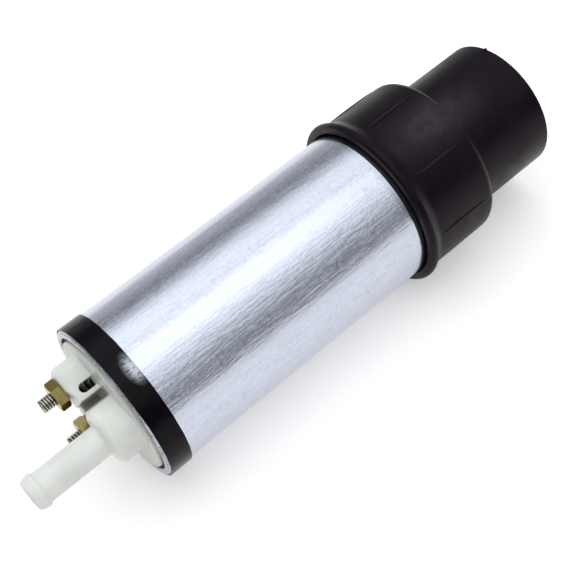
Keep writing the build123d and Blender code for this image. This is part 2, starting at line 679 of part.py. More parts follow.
# Two carbon brushes on the commutator's face, each pushed down by its spring
for side, brush_x in (("a", BRUSH_X), ("b", -BRUSH_X)):
    with BuildPart() as brush:
        with BuildSketch(Plane.XY.offset(COMMUTATOR_TOP_Z)):
            with Locations((brush_x, 0)):
                Circle(BRUSH_R)
        extrude(amount=BRUSH_LENGTH)
        chamfer(brush.faces().sort_by(Axis.Z)[-1].edges(), BRUSH_BEVEL)
    finish(brush, f"brush_{side}")
    spring_top = WELL_TOP_Z - STUD_HEAD_HEIGHT if side == "a" else WELL_TOP_Z
    brush_spring = coil_spring(
        f"brush_spring_{side}",
        brush_x,
        0,
        BRUSH_TOP_Z,
        spring_top,
        BRUSH_SPRING_TURNS,
        BRUSH_SPRING_R,
        BRUSH_SPRING_WIRE,
    )
    finish(brush_spring, f"brush_spring_{side}")

# Bearings, shaft and thrust washers
upper_bearing = ring(0, 0, BUSH_BASE_Z, BUSH_R, SHAFT_R + RUN_GAP, BUSH_LENGTH)
finish(upper_bearing, "upper_bearing")

lower_bearing = ring(
    0, 0, LOWER_BUSH_TOP_Z - BUSH_LENGTH, BUSH_R, SHAFT_R + RUN_GAP, BUSH_LENGTH
)
finish(lower_bearing, "lower_bearing")

shaft_base = ROTOR_BASE_Z - PILOT_DEPTH + ROTOR_END_GAP
flat_top = BODY_BASE_Z
with BuildPart() as shaft:
    with BuildSketch(Plane.XY.offset(shaft_base)):
        Circle(SHAFT_R)
    extrude(amount=BUSH_TOP_Z - shaft_base)
    with BuildSketch(Plane.XY.offset(shaft_base)):
        with Locations((2 * SHAFT_R - SHAFT_FLAT, 0)):
            Rectangle(2 * SHAFT_R, 2 * SHAFT_R)
    extrude(amount=flat_top - shaft_base, mode=Mode.SUBTRACT)
finish(shaft, "shaft")

with BuildPart() as thrust_washers:
    for washer_base in (
        LOWER_BUSH_TOP_Z + RUN_GAP,
        BUSH_BASE_Z - THRUST_WASHER_THICKNESS - RUN_GAP,
    ):
        with BuildSketch(Plane.XY.offset(washer_base)):
            Circle(THRUST_WASHER_R)
            Circle(SHAFT_R + SEAT_GAP / 2, mode=Mode.SUBTRACT)
        extrude(amount=THRUST_WASHER_THICKNESS)
finish(thrust_washers, "thrust_washers")

# Armature: a slotted stack, one winding through its slots, and a face commutator
slot_middle = (SLOT_INNER_R + SLOT_OUTER_R) / 2
slot_depth = SLOT_OUTER_R - SLOT_INNER_R
with BuildPart() as armature_stack:
    with BuildSketch(Plane.XY.offset(STACK_BASE_Z)):
        Circle(STACK_R)
        Circle(SHAFT_R + SEAT_GAP / 2, mode=Mode.SUBTRACT)
        with PolarLocations(slot_middle, SLOT_COUNT):
            Rectangle(slot_depth, SLOT_WIDTH, mode=Mode.SUBTRACT)
        with PolarLocations(STACK_R, SLOT_COUNT):
            Rectangle(2 * (STACK_R - SLOT_OUTER_R) + SEAT_GAP, SLOT_MOUTH, mode=Mode.SUBTRACT)
    extrude(amount=STACK_LENGTH)
finish(armature_stack, "armature_stack")

with BuildPart() as armature_winding:
    with BuildSketch(Plane.XY.offset(STACK_BASE_Z - SLOT_LINER)):
        with PolarLocations(slot_middle, SLOT_COUNT):
            Rectangle(slot_depth - 2 * SLOT_LINER, SLOT_WIDTH - 2 * SLOT_LINER)
    extrude(amount=STACK_LENGTH + 2 * SLOT_LINER)
    head = WINDING_HEAD - 2 * SLOT_LINER
    for head_base in (STACK_BASE_Z - WINDING_HEAD + SLOT_LINER, STACK_TOP_Z + SLOT_LINER):
        with BuildSketch(Plane.XZ) as head_section:
            with Locations(((WINDING_HEAD_INNER_R + WINDING_HEAD_R) / 2, head_base + head / 2)):
                Rectangle(WINDING_HEAD_R - WINDING_HEAD_INNER_R, head)
            chamfer(head_section.vertices(), WINDING_BEVEL)
        revolve(axis=Axis.Z)
finish(armature_winding, "armature_winding")

segment_base = COMMUTATOR_TOP_Z - COMMUTATOR_THICKNESS
with BuildPart() as commutator_hub:
    with BuildSketch(Plane.XY.offset(STACK_TOP_Z + WINDING_HEAD)):
        Circle(HUB_DISC_R)
        Circle(SHAFT_R + SEAT_GAP / 2, mode=Mode.SUBTRACT)
    extrude(amount=segment_base - STACK_TOP_Z - WINDING_HEAD)
    with BuildSketch(Plane.XY.offset(segment_base)):
        Circle(COMMUTATOR_INNER_R - SEAT_GAP)
        Circle(SHAFT_R + SEAT_GAP / 2, mode=Mode.SUBTRACT)
    extrude(amount=COMMUTATOR_THICKNESS - RUN_GAP)
finish(commutator_hub, "commutator_hub")

with BuildPart() as commutator_segments:
    with BuildSketch(Plane.XY.offset(segment_base)):
        Circle(COMMUTATOR_R)
        Circle(COMMUTATOR_INNER_R, mode=Mode.SUBTRACT)
        with PolarLocations(COMMUTATOR_R, SLOT_COUNT, start_angle=180 / SLOT_COUNT):
            Rectangle(2 * COMMUTATOR_R, COMMUTATOR_CUT, mode=Mode.SUBTRACT)
    extrude(amount=COMMUTATOR_THICKNESS)
finish(commutator_segments, "commutator_segments")

# Two arc magnets on the tube wall, spread by two bent clips
with BuildPart() as magnets:
    with BuildSketch(Plane.XY.offset(MAGNET_BASE_Z)):
        Circle(FIT_R)
        Circle(MAGNET_INNER_R, mode=Mode.SUBTRACT)
        Rectangle(2 * TUBE_R, MAGNET_PART, mode=Mode.SUBTRACT)
    extrude(amount=MAGNET_LENGTH)
finish(magnets, "magnets")

with BuildPart() as magnet_clips:
    with BuildSketch(Plane.XY.offset(MAGNET_BASE_Z)):
        Circle(FIT_R)
        Circle(FIT_R - CLIP_THICKNESS, mode=Mode.SUBTRACT)
        Rectangle(2 * TUBE_R, MAGNET_PART - 2 * SEAT_GAP, mode=Mode.INTERSECT)
        clip_leg_x = FIT_R - CLIP_THICKNESS - CLIP_LEG / 2
        clip_leg_y = MAGNET_PART / 2 - SEAT_GAP - CLIP_THICKNESS / 2
        with GridLocations(2 * clip_leg_x, 2 * clip_leg_y, 2, 2):
            Rectangle(CLIP_LEG, CLIP_THICKNESS)
    extrude(amount=CLIP_LENGTH)
finish(magnet_clips, "magnet_clips")


# Gear stage
def inner_rotor_point(t):
    """One point of the inner rotor: the path of the outer rotor's lobe centres, seen from
    the inner rotor, moved inward by the radius of a lobe and the mesh gap."""
    wave = (LOBES + 1) * t
    swing = ECCENTRICITY * (LOBES + 1)
    path_x = LOBE_CIRCLE_R * math.cos(t) - ECCENTRICITY * math.cos(wave)
    path_y = LOBE_CIRCLE_R * math.sin(t) - ECCENTRICITY * math.sin(wave)
    slope_x = -LOBE_CIRCLE_R * math.sin(t) + swing * math.sin(wave)
    slope_y = LOBE_CIRCLE_R * math.cos(t) - swing * math.cos(wave)
    inward = (LOBE_R + ROTOR_MESH_GAP) / math.hypot(slope_x, slope_y)
    return (path_x - inward * slope_y, path_y + inward * slope_x)


rotor_floor = ROTOR_BASE_Z + ROTOR_END_GAP
rotor_thickness = ROTOR_HEIGHT - 2 * ROTOR_END_GAP
with BuildPart() as inner_rotor:
    with BuildSketch(Plane.XY.offset(rotor_floor)):
        with BuildLine():
            for arc in range(LOBES * LOBE_ARCS):
                arc_turn = 2 * math.pi / (LOBES * LOBE_ARCS)
                ThreePointArc(
                    inner_rotor_point(arc * arc_turn),
                    inner_rotor_point(arc * arc_turn + arc_turn / 2),
                    inner_rotor_point((arc + 1) * arc_turn),
                )
        make_face()
        Circle(SHAFT_R + SEAT_GAP / 2, mode=Mode.SUBTRACT)
    extrude(amount=rotor_thickness)
    with BuildSketch(Plane.XY.offset(rotor_floor)):
        Circle(SHAFT_R + SEAT_GAP)
        with Locations((2 * SHAFT_R - SHAFT_FLAT + SEAT_GAP, 0)):
            Rectangle(2 * SHAFT_R, 2 * SHAFT_R, mode=Mode.INTERSECT)
    extrude(amount=rotor_thickness)
finish(inner_rotor, "inner_rotor")

outer_root_r = LOBE_CIRCLE_R - LOBE_R + 2 * ECCENTRICITY + ROTOR_MESH_GAP
with BuildPart() as outer_rotor:
    with BuildSketch(Plane.XY.offset(rotor_floor)) as lobed_bore:
        with Locations((-ECCENTRICITY, 0)):
            Circle(outer_root_r)
            with PolarLocations(LOBE_CIRCLE_R, LOBES + 1):
                Circle(LOBE_R, mode=Mode.SUBTRACT)
        corners = lobed_bore.vertices()
        fillet(corners, ROOT_ROUND)
    bore_face = lobed_bore.sketch
    with BuildSketch(Plane.XY.offset(rotor_floor)):
        with Locations((-ECCENTRICITY, 0)):
            Circle(OUTER_ROTOR_R)
    extrude(amount=rotor_thickness)
    extrude(bore_face, amount=rotor_thickness, mode=Mode.SUBTRACT)
finish(outer_rotor, "outer_rotor")

with BuildPart() as eccentric_ring:
    with BuildSketch(Plane.XY.offset(ROTOR_BASE_Z)):
        Circle(FIT_R)
        with Locations((-ECCENTRICITY, 0)):
            Circle(OUTER_ROTOR_R + RUN_GAP, mode=Mode.SUBTRACT)
        with Locations((RELIEF_X, 0)):
            Circle(RELIEF_BORE_R, mode=Mode.SUBTRACT)
        for angle in DOWEL_ANGLES_DEG:
            with PolarLocations(DOWEL_CIRCLE_R, 1, start_angle=angle):
                Circle(DOWEL_R + SEAT_GAP, mode=Mode.SUBTRACT)
    extrude(amount=ROTOR_HEIGHT)
finish(eccentric_ring, "eccentric_ring")

dowel_base = ROTOR_BASE_Z + ROTOR_HEIGHT / 2 - DOWEL_LENGTH / 2
with BuildPart() as dowel_pins:
    with BuildSketch(Plane.XY.offset(dowel_base)):
        for angle in DOWEL_ANGLES_DEG:
            with PolarLocations(DOWEL_CIRCLE_R, 1, start_angle=angle):
                Circle(DOWEL_R)
    extrude(amount=DOWEL_LENGTH)
finish(dowel_pins, "dowel_pins")


# Middle lines of the two curved ports, one on each side of the line through both centres
port_centre = (-ECCENTRICITY / 2, 0)
port_start = 90 - PORT_ARC_DEG / 2
inlet_port_line = CenterArc(port_centre, PORT_MEAN_R, port_start, PORT_ARC_DEG)
outlet_port_line = CenterArc(port_centre, PORT_MEAN_R, 180 + port_start, PORT_ARC_DEG)
dowel_hole_depth = DOWEL_LENGTH / 2 - ROTOR_HEIGHT / 2 + SEAT_GAP

# Upper plate: bearing seat, delivery port, relief seat and a wall that the magnets stand on
with BuildPart() as pump_body:
    with BuildSketch(Plane.XY.offset(BODY_BASE_Z)):
        Circle(FIT_R)
    extrude(amount=BODY_HEIGHT)
    with BuildSketch(Plane.XY.offset(BODY_TOP_Z)):
        Circle(FIT_R)
        Circle(MAGNET_INNER_R, mode=Mode.SUBTRACT)
    extrude(amount=MAGNET_BASE_RISE)
    with BuildSketch(Plane.XY.offset(BODY_BASE_Z)):
        Circle(SHAFT_R + SHAFT_BORE_GAP)
    extrude(amount=BODY_HEIGHT, mode=Mode.SUBTRACT)
    with BuildSketch(Plane.XY.offset(LOWER_BUSH_TOP_Z - BUSH_LENGTH)):
        Circle(BUSH_R + SEAT_GAP)
    extrude(amount=BUSH_LENGTH, mode=Mode.SUBTRACT)
    with BuildSketch(Plane.XY.offset(BODY_BASE_Z)):
        SlotArc(outlet_port_line, 2 * PORT_HALF_WIDTH)
    extrude(amount=BODY_HEIGHT, mode=Mode.SUBTRACT)
    with BuildSketch(Plane.XY.offset(BODY_BASE_Z)):
        with Locations((RELIEF_X, 0)):
            Circle(RELIEF_SEAT_R)
    extrude(amount=BODY_HEIGHT, mode=Mode.SUBTRACT)
    with BuildSketch(Plane.XY.offset(BODY_BASE_Z)):
        with Locations((RELIEF_X, 0)):
            Circle(RELIEF_BORE_R)
    extrude(amount=RELIEF_SEAT_Z - BODY_BASE_Z, mode=Mode.SUBTRACT)
    with BuildSketch(Plane.XY.offset(BODY_BASE_Z)):
        for angle in DOWEL_ANGLES_DEG:
            with PolarLocations(DOWEL_CIRCLE_R, 1, start_angle=angle):
                Circle(DOWEL_R + SEAT_GAP)
    extrude(amount=dowel_hole_depth, mode=Mode.SUBTRACT)
finish(pump_body, "pump_body")

# Inlet cover: nozzle, suction chamber and port, shaft pilot and the relief spring's bore
nozzle_tip = COVER_BASE_Z - NOZZLE_LENGTH
chamber_base = ROTOR_BASE_Z - PORT_DEPTH - COVER_CHAMBER_HEIGHT
seal_z = COVER_BASE_Z + INLET_SEAL_RISE
with BuildPart() as inlet_cover:
    with BuildSketch(Plane.XY.offset(COVER_BASE_Z)):
        Circle(FIT_R)
    extrude(amount=COVER_HEIGHT)
    with BuildSketch(Plane.XY.offset(nozzle_tip)):
        Circle(NOZZLE_R)
    extrude(amount=NOZZLE_LENGTH)
    chamfer(inlet_cover.faces().sort_by(Axis.Z)[0].edges(), NOZZLE_ROUND)
    with BuildSketch(Plane.XY.offset(nozzle_tip)):
        Circle(NOZZLE_BORE_R)
    extrude(amount=chamber_base - nozzle_tip + SEAT_GAP, mode=Mode.SUBTRACT)
    with BuildSketch(Plane.XY.offset(chamber_base)):
        Circle(COVER_CHAMBER_R)
    extrude(amount=COVER_CHAMBER_HEIGHT, mode=Mode.SUBTRACT)
    with BuildSketch(Plane.XY.offset(ROTOR_BASE_Z - PORT_DEPTH - SEAT_GAP)):
        SlotArc(inlet_port_line, 2 * PORT_HALF_WIDTH)
    extrude(amount=PORT_DEPTH + SEAT_GAP, mode=Mode.SUBTRACT)
    with BuildSketch(Plane.XY.offset(ROTOR_BASE_Z - PILOT_DEPTH)):
        Circle(SHAFT_R + RUN_GAP)
    extrude(amount=PILOT_DEPTH, mode=Mode.SUBTRACT)
    with BuildSketch(Plane.XY.offset(COVER_BASE_Z)):
        with Locations((RELIEF_X, 0)):
            Circle(RELIEF_BORE_R)
    extrude(amount=COVER_HEIGHT, mode=Mode.SUBTRACT)
    with BuildSketch(Plane.XY.offset(ROTOR_BASE_Z - dowel_hole_depth)):
        for angle in DOWEL_ANGLES_DEG:
            with PolarLocations(DOWEL_CIRCLE_R, 1, start_angle=angle):
                Circle(DOWEL_R + SEAT_GAP)
    extrude(amount=dowel_hole_depth, mode=Mode.SUBTRACT)
    with BuildSketch(Plane.XY.offset(seal_z - INLET_SEAL_HEIGHT / 2)):
        Circle(FIT_R + SEAT_GAP)
        Circle(FIT_R - INLET_SEAL_DEPTH, mode=Mode.SUBTRACT)
    extrude(amount=INLET_SEAL_HEIGHT, mode=Mode.SUBTRACT)
finish(inlet_cover, "inlet_cover")

inlet_seal = ring(
    0,
    0,
    seal_z - INLET_SEAL_HEIGHT / 2 + SEAT_GAP,
    FIT_R,
    FIT_R - INLET_SEAL_DEPTH + SEAT_GAP,
    INLET_SEAL_HEIGHT - 2 * SEAT_GAP,
)
finish(inlet_seal, "inlet_seal")

# Relief valve: a ball held up on its seat by a spring that stands on a vented plug
relief_plug = ring(
    RELIEF_X, 0, RELIEF_PLUG_Z, RELIEF_BORE_R - SEAT_GAP, RELIEF_VENT_R, RELIEF_PLUG_HEIGHT
)
finish(relief_plug, "relief_plug")

with BuildPart() as relief_ball:
    with Locations((RELIEF_X, 0, RELIEF_BALL_Z)):
        Sphere(RELIEF_BALL_R)
finish(relief_ball, "relief_ball")

ball_rest = math.sqrt(RELIEF_BALL_R**2 - (RELIEF_SPRING_R - RELIEF_SPRING_WIRE / 2) ** 2)
relief_spring = coil_spring(
    "relief_spring",
    RELIEF_X,
    0,
    RELIEF_PLUG_Z + RELIEF_PLUG_HEIGHT,
    RELIEF_BALL_Z - ball_rest,
    RELIEF_SPRING_TURNS,
    RELIEF_SPRING_R,
    RELIEF_SPRING_WIRE,
)
finish(relief_spring, "relief_spring")

# Check valve: a seat ring pressed in from below, a stemmed poppet and its spring
check_seat = ring(PIPE_X, PIPE_Y, VALVE_BASE_Z, CHAMBER_R - SEAT_GAP, SEAT_BORE_R, SEAT_HEIGHT)
finish(check_seat, "check_seat")

with BuildPart() as check_poppet:
    with BuildSketch(Plane.XY.offset(SEAT_TOP_Z)):
        with Locations((PIPE_X, PIPE_Y)):
            Circle(POPPET_R)
    extrude(amount=POPPET_HEIGHT)
    with BuildSketch(Plane.XY.offset(POPPET_TOP_Z)):
        with Locations((PIPE_X, PIPE_Y)):
            Circle(POPPET_STEM_R)
    extrude(amount=POPPET_STEM_LENGTH)
    chamfer(check_poppet.faces().sort_by(Axis.Z)[-1].edges(), STUD_BEVEL)
finish(check_poppet, "check_poppet")

check_spring = coil_spring(
    "check_spring",
    PIPE_X,
    PIPE_Y,
    POPPET_TOP_Z,
    CHAMBER_TOP_Z,
    CHECK_SPRING_TURNS,
    CHECK_SPRING_R,
    CHECK_SPRING_WIRE,
)
finish(check_spring, "check_spring")
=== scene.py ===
"""Dressed scene of an in-tank fuel pump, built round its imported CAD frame.

The pump stands along +Z in the frame, with its inlet sleeve at the bottom. The photograph shows
it lying on a pale table, so the floor is an upright plane beside it and the camera is rolled.
Lengths in the classes are millimetres; meshes are made in metres.
"""

import json
import logging
import math
from contextlib import contextmanager
from dataclasses import dataclass
from enum import Enum
from typing import Iterator, Optional, Sequence

import bmesh
import bpy
from mathutils import Matrix, Vector, noise

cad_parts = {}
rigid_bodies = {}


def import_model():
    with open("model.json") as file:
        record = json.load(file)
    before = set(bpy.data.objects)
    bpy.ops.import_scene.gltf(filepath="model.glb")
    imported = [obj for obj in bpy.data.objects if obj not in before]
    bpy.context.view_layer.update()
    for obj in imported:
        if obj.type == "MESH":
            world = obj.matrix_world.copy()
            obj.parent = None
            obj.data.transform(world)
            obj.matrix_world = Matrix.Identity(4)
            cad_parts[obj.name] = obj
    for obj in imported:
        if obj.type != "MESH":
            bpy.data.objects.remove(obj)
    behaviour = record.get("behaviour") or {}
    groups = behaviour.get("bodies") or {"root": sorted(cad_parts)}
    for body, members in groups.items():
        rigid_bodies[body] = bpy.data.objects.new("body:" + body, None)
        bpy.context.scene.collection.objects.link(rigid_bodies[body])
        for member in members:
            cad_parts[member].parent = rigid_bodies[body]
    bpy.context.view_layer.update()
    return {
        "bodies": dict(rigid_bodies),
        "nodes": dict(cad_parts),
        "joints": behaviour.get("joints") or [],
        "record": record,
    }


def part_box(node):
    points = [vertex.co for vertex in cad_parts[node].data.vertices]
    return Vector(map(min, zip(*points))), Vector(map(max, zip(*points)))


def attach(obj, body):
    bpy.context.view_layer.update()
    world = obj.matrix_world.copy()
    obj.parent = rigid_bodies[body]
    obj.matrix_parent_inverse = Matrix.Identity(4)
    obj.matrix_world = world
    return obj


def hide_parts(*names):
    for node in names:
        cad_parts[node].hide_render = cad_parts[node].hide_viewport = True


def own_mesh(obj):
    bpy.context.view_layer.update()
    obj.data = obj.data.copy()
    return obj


log = logging.getLogger("fuel_pump")

MM = 0.001
FULL_TURN = 2 * math.pi
Point = tuple[float, float]
Corner = tuple[float, float, float]
Colour = tuple[float, float, float]
Face = tuple[int, ...]
# A box of painted shade: two opposite corners, a strength and a colour.
PaintedShade = tuple[Corner, Corner, float, Colour]
Socket = bpy.types.NodeSocket
Outputs = Sequence[Socket]
Feeds = dict[object, object]
Piece = bpy.types.Object


# Node trees


class Nodes:
    """A short way to add nodes and links to one node tree."""

    prefix = ""

    def __init__(self, tree: bpy.types.NodeTree) -> None:
        """Keeps the tree that the nodes go into."""
        self.tree = tree

    def feed(self, socket: Socket, source: object) -> None:
        """Links an input to an output socket, or writes a plain value or a colour on it.

        Args:
            socket: the input to feed.
            source: an output socket, a number, a vector or a colour.
        """
        if isinstance(source, Socket):
            self.tree.links.new(source, socket)
        elif isinstance(source, tuple) and socket.type == "RGBA" and len(source) == 3:
            socket.default_value = (*source, 1.0)
        else:
            socket.default_value = source

    def node(self, kind: str, feeds: Optional[Feeds] = None, **settings: object) -> bpy.types.Node:
        """Adds one node and feeds its inputs.

        Args:
            kind: the node's type name, which may leave out the prefix of this kind of tree.
            feeds: input names or numbers with the sockets or values that feed them.
            settings: attributes of the node, such as operation or data_type.

        Returns:
            The new node.
        """
        whole = kind.startswith(("Node", "ShaderNode"))
        made = self.tree.nodes.new(kind if whole else self.prefix + kind)
        for name, value in settings.items():
            setattr(made, name, value)
        for key, value in (feeds or {}).items():
            self.feed(made.inputs[key], value)
        return made

    def out(self, kind: str, feeds: Optional[Feeds] = None, **settings: object) -> Socket:
        """Adds one node and gives its first output."""
        return self.node(kind, feeds, **settings).outputs[0]

    def math(self, operation: str, *values: object, clamp: bool = False) -> Socket:
        """One arithmetic step on up to three sockets or numbers."""
        feeds = dict(enumerate(values))
        return self.out("ShaderNodeMath", feeds, operation=operation, use_clamp=clamp)

    def times(self, first: object, second: object) -> Socket:
        """The product of two sockets or numbers."""
        return self.math("MULTIPLY", first, second)

    def ramp(
        self,
        value: object,
        low: object,
        high: object,
        start: object = 0.0,
        end: object = 1.0,
        how: str = "SMOOTHSTEP",
    ) -> Socket:
        """Maps a value from low..high onto start..end and keeps it between them.

        Args:
            value: socket or number to map.
            low: value that gives start.
            high: value that gives end.
            start: result at the low end.
            end: result at the high end.
            how: the kind of step between the two.

        Returns:
            The result's socket.
        """
        names = ("Value", "From Min", "From Max", "To Min", "To Max")
        feeds = dict(zip(names, (value, low, high, start, end)))
        return self.out("ShaderNodeMapRange", feeds, interpolation_type=how)


class ShaderTree(Nodes):
    """The tree of a material, a world or a shader group."""

    prefix = "ShaderNode"

    @classmethod
    def of(cls, owner: bpy.types.ID) -> "ShaderTree":
        """Empties the tree of a material or a world.

        Args:
            owner: the material or the world.

        Returns:
            Its tree.
        """
        owner.use_nodes = True
        owner.node_tree.nodes.clear()
        return cls(owner.node_tree)

    def vector(self, operation: str, *values: object) -> Socket:
        """One step of vector arithmetic, where a length or a dot product gives a number."""
        made = self.node("VectorMath", dict(enumerate(values)), operation=operation)
        return made.outputs["Value" if operation in ("LENGTH", "DOT_PRODUCT") else "Vector"]

    def mix(self, factor: object, first: object, second: object) -> Socket:
        """Mixes two colours: a factor of 0 gives the first, 1 the second."""
        return self.node("Mix", {0: factor, 6: first, 7: second}, data_type="RGBA").outputs[2]

    def place(self) -> Socket:
        """A point's place on the object, in metres."""
        return self.node("TexCoord").outputs["Object"]

    def split(self) -> Outputs:
        """The X, Y and Z of a point's place on the object."""
        return self.node("SeparateXYZ", {0: self.place()}).outputs

    def stretched(self, vector: object, scale: Corner) -> Socket:
        """A place scaled along each axis, which stretches the pattern that reads it."""
        return self.out("Mapping", {"Vector": vector, "Scale": scale})

    def away(self, centre: Corner, scale: Corner) -> Socket:
        """How far a point lies from a centre given in millimetres, with each axis scaled."""
        offset = self.vector("SUBTRACT", self.place(), tuple(value * MM for value in centre))
        return self.vector("LENGTH", self.stretched(offset, scale))

    def noise(
        self, vector: object, scale: object, detail: float = 3.0, rough: float = 0.5
    ) -> Socket:
        """Fractal noise between 0 and 1, with its scale in cells per metre."""
        feeds = {"Vector": vector, "Scale": scale, "Detail": detail, "Roughness": rough}
        return self.node("TexNoise", feeds).outputs["Fac"]

    def bump(
        self, height: object, depth: float, strength: float = 1.0, over: Optional[Socket] = None
    ) -> Socket:
        """A surface normal bent by a height.

        Args:
            height: height between 0 and 1.
            depth: depth in metres that a height of 1 stands for.
            strength: share of the bump that shows.
            over: a normal that is bent already, to be bent further.

        Returns:
            The bent normal's socket.
        """
        made = self.node("Bump", {"Strength": strength, "Distance": depth, "Height": height})
        if over is not None:
            self.feed(made.inputs["Normal"], over)
        return made.outputs[0]


class SharedEffects:
    """Shader groups that several finishes use, each built once."""

    def __init__(self) -> None:
        """Builds the groups."""
        self.grain = self._grain()
        self.handling = self._handling()

    @staticmethod
    def _group(name: str, inputs: dict[str, float], outputs: Sequence[str]) -> tuple:
        """Starts a group with a place input, named values and named outputs.

        Args:
            name: the group's name.
            inputs: value inputs and their defaults.
            outputs: names of the float outputs.

        Returns:
            The group's ShaderTree, the sockets that it is given and those of its result.
        """
        tree = bpy.data.node_groups.new(name, "ShaderNodeTree")
        tree.interface.new_socket("Place", in_out="INPUT", socket_type="NodeSocketVector")
        for label, value in inputs.items():
            socket = tree.interface.new_socket(label, in_out="INPUT", socket_type="NodeSocketFloat")
            socket.default_value = value
        for label in outputs:
            tree.interface.new_socket(label, in_out="OUTPUT", socket_type="NodeSocketFloat")
        shader = ShaderTree(tree)
        return shader, shader.node("NodeGroupInput").outputs, shader.node("NodeGroupOutput").inputs

    def _grain(self) -> bpy.types.NodeTree:
        """Fine grain drawn out along Z, with broken streaks and pits.

        Returns:
            The group's tree, with outputs Streaks, Specks and Height.
        """
        shader, given, result = self._group(
            "drawn_grain",
            {"Across": 2600.0, "Along": 180.0, "Speck": 1900.0, "Mixing": 0.5},
            ("Streaks", "Specks", "Height"),
        )
        across = given["Across"]
        scale = shader.out("CombineXYZ", {0: across, 1: across, 2: given["Along"]})
        drawn = shader.vector("MULTIPLY", given["Place"], scale)
        streaks = shader.noise(drawn, 1.0, detail=4.0, rough=0.62)
        specks = shader.noise(given["Place"], given["Speck"], 3.0, 0.6)
        height = shader.out("Mix", {0: given["Mixing"], 2: streaks, 3: specks}, data_type="FLOAT")
        shader.feed(result["Streaks"], shader.ramp(streaks, 0.32, 0.68))
        shader.feed(result["Specks"], shader.ramp(specks, 0.35, 0.65))
        shader.feed(result["Height"], height)
        return shader.tree

    def _handling(self) -> bpy.types.NodeTree:
        """Faint marks of handling: large soft patches and a few small dull spots.

        Returns:
            The group's tree, with outputs Patches and Spots.
        """
        shader, given, result = self._group(
            "handling_marks", {"Patch": 90.0, "Spot": 420.0}, ("Patches", "Spots")
        )
        patches = shader.noise(given["Place"], given["Patch"], 4.0, 0.55)
        spots = shader.noise(given["Place"], given["Spot"], 2.0, 0.5)
        shader.feed(result["Patches"], shader.ramp(patches, 0.35, 0.65))
        shader.feed(result["Spots"], shader.ramp(spots, 0.66, 0.74))
        return shader.tree

    @staticmethod
    def use(shader: ShaderTree, group: bpy.types.NodeTree, **values: float) -> Outputs:
        """Places a group in a material.

        Args:
            shader: the material's tree.
            group: the group to place.
            values: the group's own inputs for this material.

        Returns:
            The group's outputs.
        """
        made = shader.node("Group", node_tree=group)
        for name, value in {"Place": shader.place(), **values}.items():
            shader.feed(made.inputs[name], value)
        return made.outputs


# Finishes


@dataclass(frozen=True)
class Finish:
    """A plain finish: one colour with soft mottling, a grain and a gloss.

    The name is the record's material slot. The sheen is the least and the greatest share of the
    roughness that shows.
    """

    name: str
    colour: Colour
    roughness: float
    metallic: float = 0.0
    mottle: float = 0.12
    grain_depth: float = 0.01
    across: float = 2400.0
    along: float = 2400.0
    coat: float = 0.0
    coat_roughness: float = 0.12
    specular: float = 0.5
    patch: float = 90.0
    spot: float = 420.0
    sheen: Point = (0.88, 1.14)

    def tint(self, share: float, lift: float = 0.0) -> Colour:
        """The finish's colour made darker or lighter."""
        return tuple(min(1.0, channel * share + lift) for channel in self.colour)

    def gloss(self, shader: ShaderTree, mask: Socket) -> Socket:
        """Roughness that follows a mask between the two shares that are the finish's sheen."""
        least, most = self.sheen
        return shader.ramp(mask, 0.0, 1.0, self.roughness * least, self.roughness * most)

    def paint(self, shader: ShaderTree, effects: SharedEffects, marks: Outputs) -> Feeds:
        """Says what feeds the surface shader.

        Args:
            shader: the material's tree.
            effects: the shared shader groups.
            marks: the faint marks of handling, as Patches and Spots.

        Returns:
            Names of the surface shader's inputs with what feeds each.
        """
        grain = effects.use(shader, effects.grain, Across=self.across, Along=self.along)
        tone = shader.times(grain["Streaks"], 0.4)
        tone = shader.math("MULTIPLY_ADD", marks["Patches"], 0.6, tone)
        dark, light = self.tint(1 - self.mottle), self.tint(1 + self.mottle)
        return {
            "Base Color": shader.mix(tone, dark, light),
            "Normal": shader.bump(grain["Height"], self.grain_depth * MM),
        }

    def build(self, effects: SharedEffects) -> bpy.types.Material:
        """Makes the material.

        Args:
            effects: the shared shader groups.

        Returns:
            The material.
        """
        made = bpy.data.materials.new(self.name)
        shader = ShaderTree.of(made)
        marks = effects.use(shader, effects.handling, Patch=self.patch, Spot=self.spot)
        feeds = {
            "Metallic": self.metallic,
            "Specular IOR Level": self.specular,
            "Coat Weight": self.coat,
            "Coat Roughness": self.coat_roughness,
            "Roughness": self.gloss(shader, marks["Patches"]),
            **self.paint(shader, effects, marks),
        }
        shader.node("OutputMaterial", {"Surface": shader.out("BsdfPrincipled", feeds)})
        return made


